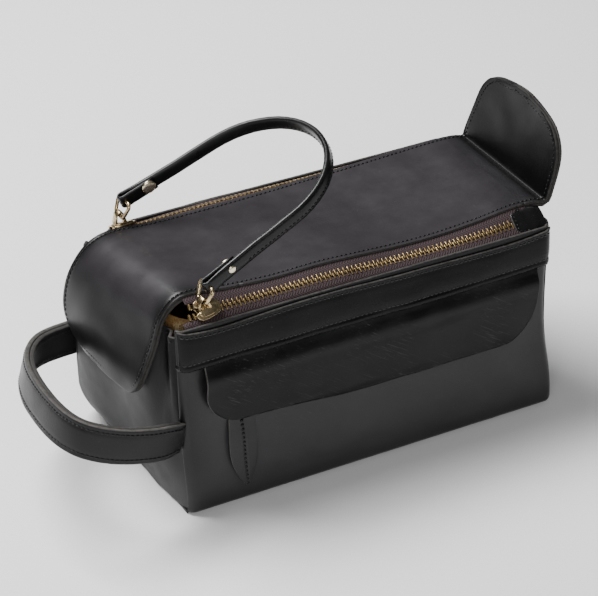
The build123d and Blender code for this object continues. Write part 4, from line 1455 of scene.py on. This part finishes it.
# Where each soft piece bends: the bodies at its two ends and the places between which it passes from
# the one to the other, in metres.
blends = {
    "tongue": ("left_flap", "lid", (-0.118, 0, 0.132), (-0.100, 0, 0.132)),
    "lid": ("lid", "bag", (0.070, 0, 0.132), (0.105, 0, 0.132)),
    "ear": ("bag", "right_ear", (0.120, 0, 0.1315), (0.1292, 0, 0.1365)),
    "handle": ("bag", "handle", (-0.127, 0, 0.056), (-0.150, 0, 0.056)),
    "flap": ("bag", "pocket_flap", (0, -0.0655, 0.0985), (0, -0.0655, 0.0915)),
}


def settle_on(piece, body, nodes=()):
    """Parent a finished piece to its body, or bake a bending piece's place into its mesh, and hide the CAD
    nodes it stands for.
    """
    if body in blends:
        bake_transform(piece)
    else:
        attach(piece, body)
    if nodes:
        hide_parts(*nodes)


settle_on(make_wrap(), "bag", ["body_wrap"])
for name, side in (("left_end", -1), ("right_end", 1)):
    panel, sewn = make_end(name + "_leather", side)
    settle_on(panel, "bag", [name + "_panel"])
    settle_on(sewn, "bag")
for name, side in (("front_band", -1), ("back_band", 1)):
    strip, sewn = make_band(name + "_leather", side)
    settle_on(strip, "bag", [name])
    settle_on(sewn, "bag")
settle_on(make_lining(), "bag", ["bag_lining"])

runs = {
    "tongue": ("left_flap_leather", ["last"], ["left_flap"], ["left_flap_facing"]),
    "lid": ("lid_leather", ["first", "last"], ["lid_panel", "lid_end"], ["lid_facing", "lid_end_facing"]),
    "ear": ("right_ear_leather", ["first"], ["right_ear"], ["right_ear_facing"]),
}
for kind, (name, seams, outer_nodes, inner_nodes) in runs.items():
    outer, inner, sewn = make_lid_run(kind, name, seams)
    settle_on(outer, kind, outer_nodes)
    settle_on(inner, kind, inner_nodes)
    settle_on(sewn, kind)

for end, side in (("front", -1), ("back", 1)):
    tape, metal = make_zip_side(side, -1, -119.0 if side < 0 else -109.0, 112.0, end + "_bag")
    settle_on(tape, "bag", [end + "_bag_tape"])
    settle_on(metal, "bag", [end + "_bag_teeth", end + "_bag_stop"])
    tape, metal = make_zip_side(side, 1, -114.0 if side < 0 else -109.0, 112.0, end + "_lid")
    settle_on(tape, "lid", [end + "_lid_tape", end + "_tape_end"])
    settle_on(metal, "lid", [end + "_lid_teeth", end + "_lid_stop"])
    settle_on(make_slider(end + "_slider_metal", side), end + "_slider", [end + "_slider"])
    tab, sewn = make_tab(end + "_zip_tab_leather", side)
    settle_on(tab, "bag", [end + "_zip_tab"])
    settle_on(sewn, "bag")

strap, sewn, caps = make_strap()
settle_on(strap, "wrist_strap", ["wrist_strap"])
settle_on(sewn, "wrist_strap")
settle_on(caps, "wrist_strap", ["strap_rivets"])
outer, inner, sewn = make_handle()
settle_on(outer, "handle", ["handle_outer"])
settle_on(inner, "handle", ["handle_inner"])
settle_on(sewn, "handle")
settle_on(make_flap(), "flap", ["pocket_flap"])
leaf, sewn = make_leaf()
settle_on(leaf, "pocket_pull", ["pocket_pull"])
settle_on(sewn, "pocket_pull")

# CAD nodes that stay as they are and only take a finish.
kept = {
    slider_metal: ["front_ring", "back_ring", "pocket_link", "pocket_slider"],
    tooth_metal: ["pocket_teeth"],
    tape_cloth: ["pocket_upper_tape", "pocket_lower_tape"],
    lining_cloth: ["pocket_bag", "base_board"],
}
for finish, nodes in kept.items():
    for node in nodes:
        mesh = frame["nodes"][node].data
        mesh.materials.clear()
        mesh.materials.append(finish)
        mesh.shade_smooth()
for shape in (STITCH, TOOTH):
    bpy.data.objects.remove(shape)


# ---------------------------------------------------------------- floor, light and camera

def plain_material(name, color, roughness):
    """One even surface."""
    material = bpy.data.materials.new(name)
    material.use_nodes = True
    shader = material.node_tree.nodes["Principled BSDF"]
    shader.inputs["Base Color"].default_value = color
    shader.inputs["Roughness"].default_value = roughness
    return material


floor_reach = 9000
floor_corners = [(x * floor_reach, y * floor_reach, -0.3) for x, y in ((-1, -1), (1, -1), (1, 1), (-1, 1))]
floor = write_mesh("floor", floor_corners, [[0, 1, 2, 3]],
                   material=plain_material("pale floor", (0.86, 0.86, 0.86, 1), 0.7))
world = bpy.data.worlds.new("studio")
bpy.context.scene.world = world
world.use_nodes = True
sky = world.node_tree
direction = sky.nodes.new("ShaderNodeTexCoord")
split = sky.nodes.new("ShaderNodeSeparateXYZ")
sky.links.new(direction.outputs["Generated"], split.inputs[0])
glow = ranged(sky, split.outputs["Z"], 0.05, 0.9, 0.7, 4.2)
sky.links.new(glow, sky.nodes["Background"].inputs["Strength"])


def softbox(name, place, target, size, power):
    """Square area light aimed at a point, in metres."""
    light = bpy.data.lights.new(name, "AREA")
    light.shape = "RECTANGLE"
    light.size, light.size_y = size
    light.energy = power
    lamp = linked(name, light)
    lamp.location = place
    lamp.rotation_euler = (Vector(target) - Vector(place)).to_track_quat("-Z", "Y").to_euler()
    return lamp


softbox("key light", (-0.5, 0.7, 1.6), (0, 0, 0.1), (1.2, 0.8), 70.0)
softbox("front light", (-0.9, -1.9, 1.2), (0, 0, 0.05), (1.6, 1.0), 26.0)
azimuth, elevation, distance = math.radians(-28.48), math.radians(31.94), 1.5509
target = Vector((-0.0143, 0.0, 0.0787))
view = Vector((math.sin(azimuth) * math.cos(elevation), -math.cos(azimuth) * math.cos(elevation),
               math.sin(elevation)))
camera_data = bpy.data.cameras.new("camera")
camera_data.lens = 156.52
camera_data.sensor_width = 36.0
camera = linked("camera", camera_data)
camera.location = target + view * distance
camera.rotation_euler = (-view).to_track_quat("-Z", "Y").to_euler()
bpy.context.scene.camera = camera
